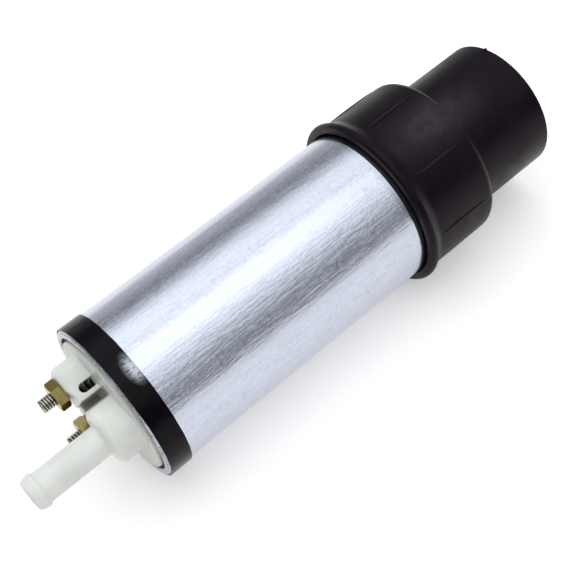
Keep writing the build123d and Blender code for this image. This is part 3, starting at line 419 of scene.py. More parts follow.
@dataclass(frozen=True)
class ZincTubeFinish(Finish):
    """Bright zinc on drawn steel: streaks along the tube and a crystalline speckle.

    The streaks are deepest on one side of the tube, between drawn_low and drawn_high along X.
    The rolled rim is bare grey steel, and next to the sleeve's end the surface is calm.
    """

    patch: float = 60.0
    spot: float = 260.0
    sheen: Point = (0.8, 1.3)
    streak_depth: float = 0.21
    wave_depth: float = 0.45
    sleeve_end: float = 48.6
    rim_start: float = 131.6
    drawn_low: float = -12.0
    drawn_high: float = -2.0

    def paint(self, shader: ShaderTree, effects: SharedEffects, marks: Outputs) -> Feeds:
        """Says what feeds the surface shader.

        Args:
            shader: the material's tree.
            effects: the shared shader groups.
            marks: the faint marks of handling, as Patches and Spots.

        Returns:
            Names of the surface shader's inputs with what feeds each.
        """
        grain = effects.use(
            shader, effects.grain, Across=self.across, Along=self.along, Speck=1300.0, Mixing=0.35
        )
        x, _, z = shader.split()
        tone = shader.times(grain["Streaks"], 0.5)
        tone = shader.math("MULTIPLY_ADD", grain["Specks"], 0.5, tone)
        base = shader.mix(tone, self.tint(0.80), self.colour)
        base = shader.mix(shader.times(marks["Spots"], 0.5), base, self.tint(0.72))
        rim, end = self.rim_start * MM, self.sleeve_end * MM
        smear = shader.ramp(shader.noise(shader.place(), 700.0, 3.0, 0.6), 0.35, 0.65, 0.45, 1.0)
        bare = shader.times(shader.ramp(z, rim, rim + 0.3 * MM), smear)
        calm = shader.ramp(z, end + 0.8 * MM, end + 3.0 * MM)
        drawn = shader.ramp(x, self.drawn_low * MM, (self.drawn_low + 5.0) * MM)
        plain = shader.ramp(x, self.drawn_high * MM, (self.drawn_high + 6.0) * MM)
        drawn = shader.times(drawn, shader.math("SUBTRACT", 1.0, plain))
        depth = shader.times(calm, shader.math("MULTIPLY_ADD", drawn, 0.75, 0.25))
        wave = shader.noise(shader.stretched(shader.place(), (1.0, 1.0, 0.14)), 260.0, 2.0)
        broad = shader.bump(shader.times(wave, calm), self.wave_depth * MM, 0.12)
        height = shader.times(grain["Height"], depth)
        return {
            "Base Color": shader.mix(bare, base, self.tint(0.30)),
            "Roughness": self.gloss(shader, shader.times(tone, calm)),
            "Normal": shader.bump(height, self.streak_depth * MM, over=broad),
        }


@dataclass(frozen=True)
class NylonFinish(Finish):
    """Natural nylon: milky, a little translucent, softly glossy, with painted shade in places.

    The painted shade darkens the recessed channel between the boss and the taller tower, and the
    low flange. Each shaded box is given by two opposite corners, its strength and its colour.
    """

    patch: float = 140.0
    spot: float = 900.0
    sheen: Point = (0.85, 1.15)
    depth: float = 1.6
    soil_colour: Colour = (0.42, 0.40, 0.32)
    painted_shade_edge: float = 0.3
    # Painted shade: the recessed channel by the boss, then the low flange, darkened in colour.
    painted_shades: tuple[PaintedShade, ...] = (
        ((2.0, -11.0, 132.2), (4.7, 5.5, 138.6), 0.8, (0.17, 0.165, 0.115)),
        ((-20.0, -20.0, 120.0), (20.0, 20.0, 132.7), 0.5, (0.40, 0.42, 0.36)),
    )

    def paint(self, shader: ShaderTree, effects: SharedEffects, marks: Outputs) -> Feeds:
        """Says what feeds the surface shader.

        Args:
            shader: the material's tree.
            effects: not used.
            marks: the faint marks of handling, as Patches and Spots.

        Returns:
            Names of the surface shader's inputs with what feeds each.
        """
        base = shader.mix(marks["Patches"], self.tint(0.93), self.colour)
        base = shader.mix(shader.times(marks["Spots"], 0.12), base, self.soil_colour)
        sides, soft = shader.split(), self.painted_shade_edge
        # Painted shade: each box darkens the colour toward its own, softened at its edges.
        for low, high, strength, colour in self.painted_shades:
            inside = strength
            for value, start, end in zip(sides, low, high):
                entered = shader.ramp(value, (start - soft) * MM, (start + soft) * MM)
                left = shader.ramp(value, (end + soft) * MM, (end - soft) * MM)
                inside = shader.times(inside, shader.times(entered, left))
            base = shader.mix(inside, base, colour)
        return {
            "Base Color": base,
            "Subsurface Weight": 0.35,
            "Subsurface Radius": (1.0, 0.95, 0.70),
            "Subsurface Scale": self.depth * MM,
            "Normal": shader.bump(shader.noise(shader.place(), 650.0, 2.0, 0.45), 0.03 * MM),
        }


@dataclass(frozen=True)
class RubberFinish(Finish):
    """Black moulded rubber with a satin skin, one painted pale sheen and paler mould lines.

    What stands out further than line_radius, below line_top, is a mould line.
    """

    patch: float = 70.0
    spot: float = 300.0
    sheen: Point = (0.85, 1.2)
    line_radius: float = 22.86
    line_top: float = 45.0
    line_colour: Colour = (0.019, 0.014, 0.013)
    # Place, stretch and colour of a painted pale sheen on the upper side of the shoulder and neck.
    painted_sheen_place: Corner = (6.2, -20.5, 28.0)
    painted_sheen_stretch: Corner = (108.0, 70.0, 44.0)
    painted_sheen_colour: Colour = (0.038, 0.031, 0.038)

    def paint(self, shader: ShaderTree, effects: SharedEffects, marks: Outputs) -> Feeds:
        """Says what feeds the surface shader.

        Args:
            shader: the material's tree.
            effects: the shared shader groups.
            marks: the faint marks of handling, as Patches and Spots.

        Returns:
            Names of the surface shader's inputs with what feeds each.
        """
        grain = effects.use(shader, effects.grain, Across=1500.0, Along=1500.0, Speck=3200.0)
        tone = shader.times(marks["Patches"], 0.35)
        tone = shader.math("MULTIPLY_ADD", marks["Spots"], 0.4, tone, clamp=True)
        base = shader.mix(tone, self.colour, self.tint(1.8, 0.0015))
        # Painted sheen: a soft pale patch, broken up by noise, stands for a broad highlight.
        painted_sheen = shader.ramp(shader.away(self.painted_sheen_place, self.painted_sheen_stretch), 1.0, 0.0)
        sheen_breakup = shader.noise(shader.place(), 260.0, 4.0, 0.6)
        painted_sheen = shader.times(painted_sheen, shader.ramp(sheen_breakup, 0.35, 0.65, 0.6, 1.15))
        base = shader.mix(painted_sheen, base, self.painted_sheen_colour)
        out, proud = shader.away((0.0, 0.0, 0.0), (1.0, 1.0, 0.0)), self.line_radius * MM
        below = shader.ramp(shader.split()[2], self.line_top * MM, (self.line_top - 0.4) * MM)
        line = shader.times(shader.ramp(out, proud, proud + 0.15 * MM), below)
        return {
            "Specular Tint": (1.0, 0.80, 1.0),
            "Base Color": shader.mix(line, base, self.line_colour),
            "Normal": shader.bump(grain["Height"], self.grain_depth * MM),
        }


@dataclass(frozen=True)
class BandFinish(Finish):
    """Glossy black film, a little wrinkled where it wraps the tube, with one painted highlight."""

    patch: float = 200.0
    spot: float = 700.0
    sheen: Point = (0.8, 1.3)
    # Place, stretch and colour of the painted highlight, a glare on the band.
    painted_highlight_place: Corner = (3.2, -21.5, 126.5)
    painted_highlight_stretch: Corner = (200.0, 90.0, 360.0)
    painted_highlight_colour: Colour = (0.72, 0.77, 0.86)

    def paint(self, shader: ShaderTree, effects: SharedEffects, marks: Outputs) -> Feeds:
        """Says what feeds the surface shader.

        Args:
            shader: the material's tree.
            effects: not used.
            marks: the faint marks of handling, as Patches and Spots.

        Returns:
            Names of the surface shader's inputs with what feeds each.
        """
        worn = self.tint(1.5, 0.003)
        base = shader.mix(shader.times(marks["Spots"], 0.3), self.colour, worn)
        # Painted highlight: a pale patch, broken by the film's folds, stands for a glare.
        core = shader.ramp(shader.away(self.painted_highlight_place, self.painted_highlight_stretch), 1.0, 0.0)
        folds = shader.noise(shader.stretched(shader.place(), (1.0, 1.0, 0.5)), 1900.0, 3.0, 0.6)
        painted_highlight = shader.times(core, shader.ramp(folds, 0.34, 0.56, 0.30, 1.0))
        wrinkle = shader.noise(shader.stretched(shader.place(), (1.0, 1.0, 0.7)), 420.0, 3.0, 0.6)
        return {
            "Base Color": shader.mix(painted_highlight, base, self.painted_highlight_colour),
            "Normal": shader.bump(wrinkle, 0.12 * MM, 0.6),
        }


@dataclass(frozen=True)
class ThreadFinish(Finish):
    """Bright zinc on the terminal studs, with painted shade in the roots of their threads.

    Each stud is given by the X and Y of its axis and its radius.
    """

    studs: tuple[Corner, ...] = ((9.6, 0.0, 2.0), (-1.8, 8.0, 2.5))
    # Colour of the painted shade in the thread roots.
    root_shade_colour: Colour = (0.15, 0.13, 0.10)

    def paint(self, shader: ShaderTree, effects: SharedEffects, marks: Outputs) -> Feeds:
        """Says what feeds the surface shader.

        Args:
            shader: the material's tree.
            effects: not used.
            marks: not used.

        Returns:
            Names of the surface shader's inputs with what feeds each.
        """
        sunk = 1.0
        for x, y, radius in self.studs:
            out = shader.away((x, y, 0.0), (1.0, 1.0, 0.0))
            sunk = shader.math("MINIMUM", sunk, shader.math("SUBTRACT", out, radius * MM))
        # Painted shade: the thread roots, below each stud's crest, are darkened toward the shade
        # colour.
        off_root = shader.ramp(sunk, -0.33 * MM, -0.12 * MM)
        return {"Base Color": shader.mix(off_root, self.root_shade_colour, self.colour)}


class FinishBook:
    """Every finish of the pump by its material slot, and the materials made from them."""

    FINISHES: tuple[Finish, ...] = (
        RubberFinish(
            "sleeve_rubber", (0.0030, 0.0016, 0.0034), 0.40, grain_depth=0.02, specular=0.14
        ),
        RubberFinish("seal_rubber", (0.003, 0.003, 0.003), 0.55, specular=0.3),
        ZincTubeFinish(
            "tube_zinc", (0.61, 0.65, 0.745), 0.21, metallic=1.0, across=1400.0, along=170.0
        ),
        BandFinish("band_black", (0.0030, 0.0016, 0.0034), 0.16, specular=0.09),
        NylonFinish("cap_nylon", (0.87, 0.89, 0.84), 0.34),
        ThreadFinish("stud_zinc", (0.78, 0.77, 0.73), 0.15, metallic=1.0),
        Finish("nut_brass", (0.27, 0.215, 0.08), 0.20, metallic=1.0, mottle=0.5),
        Finish("washer_steel", (0.16, 0.14, 0.11), 0.42, metallic=1.0, mottle=0.3),
        Finish("spring_steel", (0.46, 0.42, 0.33), 0.28, metallic=1.0),
        Finish("brush_carbon", (0.030, 0.030, 0.032), 0.60, mottle=0.25),
        Finish("copper", (0.80, 0.40, 0.24), 0.30, metallic=1.0, mottle=0.2),
        Finish("winding_copper", (0.50, 0.17, 0.07), 0.34, metallic=0.7, coat=0.5),
        Finish("hub_resin", (0.09, 0.045, 0.025), 0.45),
        Finish("lamination_steel", (0.36, 0.37, 0.39), 0.42, metallic=1.0, along=12000.0),
        Finish("magnet_ferrite", (0.060, 0.060, 0.064), 0.55, mottle=0.2),
        Finish("clip_steel", (0.56, 0.57, 0.60), 0.32, metallic=1.0),
        Finish("bearing_bronze", (0.62, 0.40, 0.20), 0.44, metallic=1.0, mottle=0.2),
        Finish("die_cast", (0.62, 0.63, 0.65), 0.38, metallic=1.0, grain_depth=0.02),
        Finish("rotor_steel", (0.40, 0.40, 0.41), 0.36, metallic=1.0),
        Finish("shaft_steel", (0.74, 0.75, 0.77), 0.18, metallic=1.0, along=9000.0, across=90.0),
        Finish("washer_plastic", (0.72, 0.68, 0.56), 0.45),
        Finish("valve_plastic", (0.05, 0.16, 0.11), 0.40),
    )

    def __init__(self, effects: SharedEffects) -> None:
        """Builds one material for each finish."""
        self.materials = {finish.name: finish.build(effects) for finish in self.FINISHES}

    def __getitem__(self, slot: str) -> bpy.types.Material:
        """The material of one slot."""
        return self.materials[slot]


# Mesh building

# Points that lie closer than this, in metres, are joined in shapes made here and in CAD meshes
SHAPE_WELD = 1e-7
CAD_WELD = 1e-6


class Shading(Enum):
    """How a piece's faces are shaded."""

    SMOOTH = "smooth"
    WEIGHTED = "weighted"


@contextmanager
def opened(mesh: bpy.types.Mesh) -> Iterator[bmesh.types.BMesh]:
    """Opens a mesh for changes and writes them back.

    Args:
        mesh: the mesh to change.

    Yields:
        The open mesh.
    """
    shape = bmesh.new()
    shape.from_mesh(mesh)
    yield shape
    shape.to_mesh(mesh)
    shape.free()


def linked(name: str, data: bpy.types.ID) -> Piece:
    """Makes a new object in the scene.

    Args:
        name: the object's name.
        data: what the object shows.

    Returns:
        The new object.
    """
    made = bpy.data.objects.new(name, data)
    bpy.context.scene.collection.objects.link(made)
    return made


def mesh_object(name: str, vertices: Sequence[Vector], faces: Sequence[Face]) -> Piece:
    """Makes an object from points and faces, with normals outwards.

    Args:
        name: the object's name.
        vertices: points in metres.
        faces: corner numbers of each face.

    Returns:
        The new object, linked to the scene.
    """
    mesh = bpy.data.meshes.new(name)
    mesh.from_pydata(vertices, [], faces)
    with opened(mesh) as shape:
        bmesh.ops.remove_doubles(shape, verts=shape.verts, dist=SHAPE_WELD)
        bmesh.ops.recalc_face_normals(shape, faces=shape.faces)
    return linked(name, mesh)


def settle(target: Piece) -> Piece:
    """Turns an object's modifiers into plain mesh and removes them.

    Args:
        target: object to settle.

    Returns:
        The same object.
    """
    bpy.context.view_layer.update()
    graph = bpy.context.evaluated_depsgraph_get()
    done = bpy.data.meshes.new_from_object(target.evaluated_get(graph))
    target.modifiers.clear()
    target.data = done
    return target


def modify(target: Piece, kind: str, **settings: object) -> None:
    """Adds one modifier with its settings.

    Args:
        target: object that gets the modifier.
        kind: the modifier's type.
        settings: its attributes and their values.
    """
    made = target.modifiers.new(kind.lower(), kind)
    for name, value in settings.items():
        setattr(made, name, value)


def shade(target: Piece, how: Shading = Shading.WEIGHTED) -> Piece:
    """Shades a piece smoothly.

    Args:
        target: object to shade.
        how: plain smooth, or with normals weighted by face size for crisp flats.

    Returns:
        The same object.
    """
    target.data.shade_smooth()
    if how is Shading.WEIGHTED:
        modify(target, "WEIGHTED_NORMAL", keep_sharp=True, weight=100)
        settle(target)
    return target


def rounded(corners: Sequence[Corner], steps: int = 6) -> list[Point]:
    """Rounds the corners of a closed outline.

    Args:
        corners: x, y and rounding radius of each corner, in order.
        steps: segments of each arc.

    Returns:
        The outline's points.
    """
    points: list[Point] = []
    for index, (x, y, radius) in enumerate(corners):
        if radius <= 0:
            points.append((x, y))
            continue
        corner = Vector((x, y))
        before = (Vector(corners[index - 1][:2]) - corner).normalized()
        after = (Vector(corners[(index + 1) % len(corners)][:2]) - corner).normalized()
        half = before.angle(after) / 2
        centre = corner + (before + after).normalized() * (radius / math.sin(half))
        first = corner + before * (radius / math.tan(half)) - centre
        last = corner + after * (radius / math.tan(half)) - centre
        sweep = first.angle_signed(last)
        for step in range(steps + 1):
            turned = first.copy()
            turned.rotate(Matrix.Rotation(-sweep * step / steps, 2))
            points.append(tuple(centre + turned))
    return points


def wall(low: int, high: int, count: int) -> list[Face]:
    """The faces between two closed rows of points.

    Args:
        low: number of the first row's first point.
        high: number of the second row's first point.
        count: points in each row.

    Returns:
        The corner numbers of each face.
    """
    return [
        (low + index, low + after, high + after, high + index)
        for index, after in enumerate([*range(1, count), 0])
    ]


def lathe(
    name: str, outline: Sequence[Point], segments: int = 96, centre: Point = (0.0, 0.0)
) -> Piece:
    """Turns an outline round an upright axis.

    Args:
        name: the object's name.
        outline: radius and height of each point; one that starts off the axis is closed.
        segments: steps round the axis.
        centre: the axis's X and Y.

    Returns:
        The new object.
    """
    vertices, faces, count = [], [], len(outline)
    spans = count if outline[0][0] > 0 else count - 1
    for step in range(segments):
        angle = FULL_TURN * step / segments
        for radius, height in outline:
            x = centre[0] + radius * math.cos(angle)
            y = centre[1] + radius * math.sin(angle)
            vertices.append(Vector((x, y, height)) * MM)
        near, far = step * count, (step + 1) % segments * count
        for index in range(spans):
            after = (index + 1) % count
            faces.append((near + index, far + index, far + after, near + after))
    return mesh_object(name, vertices, faces)


def slug(
    name: str,
    radius: float,
    low: float,
    high: float,
    segments: int = 48,
    centre: Point = (0.0, 0.0),
    edge: float = 0.0,
    steps: int = 6,
) -> Piece:
    """Turns a solid disc or rod from low to high, with its upper edge rounded in steps."""
    corners = [(0.0, low, 0.0), (radius, low, 0.0), (radius, high, edge), (0.0, high, 0.0)]
    return lathe(name, rounded(corners, steps), segments, centre)


def slab(name: str, outline: Sequence[Point], near: float, far: float) -> Piece:
    """A prism with an outline in X and Z that reaches along Y.

    Args:
        name: the object's name.
        outline: X and Z of each point.
        near: Y at which it starts.
        far: Y at which it ends.

    Returns:
        The new object.
    """
    count = len(outline)
    vertices = [Vector((x, y, z)) * MM for y in (near, far) for x, z in outline]
    ends = [tuple(range(count)), tuple(reversed(range(count, 2 * count)))]
    return mesh_object(name, vertices, ends + wall(0, count, count))


def pillar(
    name: str, outline: Sequence[Point], bottom: float, top: float, edge: float, steps: int = 5
) -> Piece:
    """An upright prism whose top edge is rounded over.

    Args:
        name: the object's name.
        outline: the footprint's points, anticlockwise.
        bottom: level of the foot.
        top: level of the top.
        edge: rounding of the top edge.
        steps: segments of the rounding.

    Returns:
        The new object.
    """
    count, inward, levels = len(outline), [], [(bottom, 0.0)]
    for index in range(count):
        along = Vector(outline[(index + 1) % count]) - Vector(outline[index - 1])
        inward.append(Vector((-along.y, along.x)).normalized())
    for step in range(steps + 1):
        turn = math.pi / 2 * step / steps
        levels.append((top - edge + edge * math.sin(turn), edge * (1 - math.cos(turn))))
    vertices, faces = [], []
    for height, inset in levels:
        for point, toward in zip(outline, inward):
            flat = Vector(point) + toward * inset
            vertices.append(Vector((flat.x, flat.y, height)) * MM)
    last = len(vertices) - count
    for row in range(0, last, count):
        faces += wall(row, row + count, count)
    faces += [tuple(reversed(range(count))), tuple(range(last, last + count))]
    return mesh_object(name, vertices, faces)


def combine(target: Piece, others: Sequence[Piece], operation: str) -> None:
    """Joins other closed shapes to one, or cuts it with them, and removes them.

    Args:
        target: shape that stays.
        others: shapes that are used up.
        operation: UNION, DIFFERENCE or INTERSECT.
    """
    for other in others:
        modify(target, "BOOLEAN", operation=operation, solver="EXACT", object=other)
    settle(target)
    for other in others:
        bpy.data.objects.remove(other)


def merged_copy(name: str, node: Piece) -> Piece:
    """A copy of a CAD node's mesh with its loose triangles joined up.

    Args:
        name: name of the copy.
        node: the CAD node.

    Returns:
        The copy.
    """
    mesh = node.data.copy()
    mesh.materials.clear()
    with opened(mesh) as shape:
        bmesh.ops.remove_doubles(shape, verts=shape.verts, dist=CAD_WELD)
    return linked(name, mesh)


def absorb(target: Piece, others: Sequence[Piece]) -> None:
    """Adds other meshes to one as further islands, and removes them.

    Args:
        target: object that stays.
        others: objects that are used up.
    """
    with opened(target.data) as shape:
        for other in others:
            shape.from_mesh(other.data)
    for other in others:
        bpy.data.objects.remove(other)


# Geometry Nodes


class GeometryTree(Nodes):
    """A geometry node tree with named inputs that ends in plain mesh with a material."""

    prefix = "GeometryNode"

    def __init__(self, name: str, sizes: dict[str, float], counts: dict[str, int]) -> None:
        """Starts the tree and names its inputs.

        Args:
            name: the tree's name.
            sizes: float inputs and their defaults, in metres or plain numbers.
            counts: whole-number inputs and their defaults.
        """
        super().__init__(bpy.data.node_groups.new(name, "GeometryNodeTree"))
        face = self.tree.interface
        face.new_socket("Geometry", in_out="INPUT", socket_type="NodeSocketGeometry")
        for kind, values in (("NodeSocketFloat", sizes), ("NodeSocketInt", counts)):
            for label, value in values.items():
                socket = face.new_socket(label, in_out="INPUT", socket_type=kind)
                socket.default_value = value
        face.new_socket("Material", in_out="INPUT", socket_type="NodeSocketMaterial")
        face.new_socket("Geometry", in_out="OUTPUT", socket_type="NodeSocketGeometry")
        self.given = self.node("NodeGroupInput").outputs
        self.result = self.node("NodeGroupOutput").inputs[0]

    def point(self, x: object, y: object, z: object) -> Socket:
        """A vector from three sockets or numbers."""
        return self.out("ShaderNodeCombineXYZ", {0: x, 1: y, 2: z})

    def moved(self, geometry: Socket, height: Socket) -> Socket:
        """Geometry moved to the tree's own X and Y inputs and to a height."""
        place = self.point(self.given["X"], self.given["Y"], height)
        return self.out("Transform", {0: geometry, "Translation": place})

    def swept(self, curve: Socket, sides: int, radius: Socket, taper: object = 1.0) -> Socket:
        """A round wire along a curve, with closed ends.

        Args:
            curve: the line that the wire follows.
            sides: sides of its section.
            radius: radius of its section.
            taper: share of that radius along the line.

        Returns:
            The wire's mesh.
        """
        section = self.out("CurvePrimitiveCircle", {"Resolution": sides, "Radius": radius})
        feeds = {"Curve": curve, "Profile Curve": section, "Scale": taper, "Fill Caps": True}
        return self.out("CurveToMesh", feeds)

    def close(self, geometry: Socket) -> "GeometryTree":
        """Ends the tree in realised mesh with the given material.

        Args:
            geometry: the geometry to hand out.

        Returns:
            The same tree.
        """
        smooth = self.out("SetShadeSmooth", {0: self.out("RealizeInstances", {0: geometry})})
        feeds = {"Geometry": smooth, "Material": self.given["Material"]}
        self.feed(self.result, self.out("SetMaterial", feeds))
        return self

    def make(
        self, name: str, material: bpy.types.Material, lengths: dict[str, float], **others: float
    ) -> Piece:
        """Runs the tree once and keeps its result as a plain mesh.

        Args:
            name: the object's name.
            material: material for the whole mesh.
            lengths: inputs in millimetres.
            others: inputs that are set as given.

        Returns:
            The new object.
        """
        made = linked(name, bpy.data.meshes.new(name))
        run = made.modifiers.new(self.tree.name, "NODES")
        run.node_group = self.tree
        wanted = {label: value * MM for label, value in lengths.items()}
        wanted |= {**others, "Material": material}
        for item in self.tree.interface.items_tree:
            if item.in_out == "INPUT" and item.name in wanted:
                run[item.identifier] = wanted.pop(item.name)
        assert not wanted, f"no input named {sorted(wanted)}"
        return settle(made)


def thread_tree() -> GeometryTree:
    """A screw thread as one closed surface.

    A grid is wrapped round its axis. Its radius follows a wave that climbs one pitch a turn
    and fades into a bevel at both ends.

    Returns:
        The tree. Its inputs are X, Y, Base, Length, Crest, Root, Pitch, Around and Rings.
    """
    tree = GeometryTree(
        "screw_thread",
        dict(X=0.0, Y=0.0, Base=0.0, Length=0.01, Crest=0.002, Root=0.0016, Pitch=0.0007),
        dict(Around=48, Rings=120),
    )
    x, y, base, length, crest, root, pitch, around, rings = tree.given[1:10]
    flat_root, flat_crest, weld = 0.12, 0.88, 1e-6
    counts = {"Vertices X": around, "Vertices Y": rings}
    grid = tree.out("MeshGrid", {"Size X": 1.0, "Size Y": 1.0, **counts})
    place = tree.node("ShaderNodeSeparateXYZ", {0: tree.out("InputPosition")}).outputs
    share = tree.math("ADD", place[0], 0.5)
    height = tree.times(tree.math("ADD", place[1], 0.5), length)
    phase = tree.math("SUBTRACT", tree.math("DIVIDE", height, pitch), share)
    wave = tree.times(tree.math("PINGPONG", phase, 0.5), 2.0)
    flank = tree.ramp(wave, flat_root, flat_crest, root, crest, "LINEAR")
    fade_low = tree.math("ADD", root, height)
    fade_high = tree.math("ADD", root, tree.math("SUBTRACT", length, height))
    radius = tree.math("MINIMUM", flank, tree.math("MINIMUM", fade_low, fade_high))
    angle = tree.times(share, FULL_TURN)
    round_x = tree.math("MULTIPLY_ADD", radius, tree.math("COSINE", angle), x)
    round_y = tree.math("MULTIPLY_ADD", radius, tree.math("SINE", angle), y)
    spot = tree.point(round_x, round_y, tree.math("ADD", height, base))
    parts = [tree.out("SetPosition", {0: grid, "Position": spot})]
    disc = {"Vertices": tree.math("SUBTRACT", around, 1.0), "Radius": root}
    for level in (base, tree.math("ADD", base, length)):
        parts.append(tree.moved(tree.out("MeshCircle", disc, fill_type="NGON"), level))
    joined = tree.node("JoinGeometry")
    for part in parts:
        tree.feed(joined.inputs[0], part)
    return tree.close(tree.out("MergeByDistance", {0: joined.outputs[0], "Distance": weld}))


def coil_tree() -> GeometryTree:
    """A round wire wound into an upright coil, closed at both ends.

    Returns:
        The tree. Its inputs are X, Y, Base, Height, Radius, Wire, Turns and Steps.
    """
    tree = GeometryTree(
        "wound_coil",
        dict(X=0.0, Y=0.0, Base=0.0, Height=0.01, Radius=0.0016, Wire=0.00025, Turns=7.0),
        dict(Steps=28),
    )
    base, height, radius, wire, turns, steps = tree.given[3:9]
    feeds = {"Start Radius": radius, "End Radius": radius, "Height": height}
    spiral = tree.out("CurveSpiral", {"Resolution": steps, "Rotations": turns, **feeds})
    return tree.close(tree.moved(tree.swept(spiral, 12, wire), base))


def rib_tree() -> GeometryTree:
    """Low mould lines along a cylinder, evenly spaced, that taper toward their ends.

    Returns:
        The tree. Its inputs are Radius, Low, High, Width, First and Ribs.
    """
    tree = GeometryTree(
        "mould_lines",
        dict(Radius=0.0228, Low=0.028, High=0.044, Width=0.0003, First=0.0),
        dict(Ribs=8),
    )
    radius, low, high, width, first, ribs = tree.given[1:7]
    thinnest, start, end = 0.15, tree.point(radius, 0.0, low), tree.point(radius, 0.0, high)
    line = tree.out("CurvePrimitiveLine", {"Start": start, "End": end})
    dense = tree.out("ResampleCurve", {"Curve": line, "Count": 24})
    share = tree.node("SplineParameter").outputs["Factor"]
    taper = tree.math("SQRT", tree.math("SINE", tree.times(share, math.pi)))
    full = tree.math("MULTIPLY_ADD", taper, 1.0 - thinnest, thinnest)
    bead = tree.swept(dense, 10, width, full)
    ring = tree.out("MeshLine", {"Count": ribs, "Offset": (0.0, 0.0, 0.0)})
    step = tree.math("DIVIDE", FULL_TURN, ribs)
    turn = tree.math("MULTIPLY_ADD", tree.out("InputIndex"), step, first)
    feeds = {"Points": ring, "Instance": bead, "Rotation": tree.point(0.0, 0.0, turn)}
    return tree.close(tree.out("InstanceOnPoints", feeds))


@dataclass
class Workshop:
    """What every sub-assembly builds with: the frame, the finishes and the node trees."""

    frame: dict
    finishes: FinishBook
    thread: GeometryTree
    coil: GeometryTree
    rib: GeometryTree

    def paint(self, mesh: bpy.types.Mesh, slot: str) -> None:
        """Gives a mesh the finish of a slot and no other."""
        mesh.materials.clear()
        mesh.materials.append(self.finishes[slot])

    def fit(self, piece: Piece, slot: str, *nodes: str, body: str = "pump") -> None:
        """Gives a finished piece its slot's finish, its body and the CAD nodes it replaces.

        Args:
            piece: the finished mesh object.
            slot: the record's material slot.
            nodes: CAD nodes that it replaces.
            body: CAD body that it moves with.
        """
        self.paint(piece.data, slot)
        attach(piece, body)
        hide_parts(*nodes)
        log.info("%s: %d faces", piece.name, len(piece.data.polygons))

    def repaint(self) -> None:
        """Gives every CAD node the finish of its material slot."""
        for part in self.frame["record"]["subparts"]:
            self.paint(self.frame["nodes"][part["node"]].data, part["material_slot"])


# Sub-assemblies


@dataclass
class SubAssembly:
    """Pieces that belong together. The fields after the shop are their sizes."""

    shop: Workshop


@dataclass
class SteelTube(SubAssembly):
    """The tube with its rolled edges and the black band round its outlet end."""

    radius: float = 21.5
    wall: float = 1.5
    bottom: float = 28.6
    top: float = 132.1
    rim: float = 0.9
    rim_bore: float = 19.5
    corner: float = 0.8
    neck_low: float = 46.5
    neck_high: float = 48.9
    neck_run: float = 1.1
    neck_depth: float = 0.12
    neck_round: float = 0.3
    band_low: float = 125.5
    band_high: float = 131.7
    band_thickness: float = 0.4
    band_softness: float = 0.42
    band_gap: float = 0.03
    sway_low: float = 0.22
    sway_high: float = 0.16
    waves_per_metre: float = 110.0
    segments: int = 192

    def build_tube(self) -> None:
        """Turns the tube's wall with both rolled edges."""
        inner, neck, soft = self.radius - self.wall, self.radius - self.neck_depth, self.rim / 3
        low, high = self.bottom + self.rim, self.top - self.rim
        corners = [
            (self.rim_bore, self.bottom, soft),
            (self.radius, self.bottom, self.corner),
            (self.radius, self.neck_low, 0.0),
            (neck, self.neck_low, 0.0),
            (neck, self.neck_high, self.neck_round),
            (self.radius, self.neck_high + self.neck_run, self.neck_round),
            (self.radius, self.top, self.corner),
            (self.rim_bore, self.top, soft),
            (self.rim_bore, high, 0.0),
            (inner, high, 0.0),
            (inner, low, 0.0),
            (self.rim_bore, low, 0.0),
        ]
        tube = shade(lathe("steel_tube", rounded(corners), self.segments))
        self.shop.fit(tube, "tube_zinc", "pump_shell")

    def build_band(self) -> None:
        """Turns the band and lets its edges wander slightly."""
        inner, outer = self.radius + self.band_gap, self.radius + self.band_thickness
        low, high, soft = self.band_low, self.band_high, self.band_thickness * self.band_softness
        corners = [(inner, low, 0.0), (outer, low, soft), (outer, high, soft), (inner, high, 0.0)]
        band = lathe("black_band", rounded(corners, 4), self.segments)
        middle, shift, finer = (low + high) / 2 * MM, Vector((0, 0, 3.7)), 1.7
        for vertex in band.data.vertices:
            around = Vector((vertex.co.x, vertex.co.y, 0.0)) * self.waves_per_metre
            if vertex.co.z < middle:
                vertex.co.z += abs(noise.noise(around + shift)) * self.sway_low * MM
            else:
                vertex.co.z -= abs(noise.noise(around * finer)) * self.sway_high * MM
        self.shop.fit(shade(band), "band_black", "rim_band")


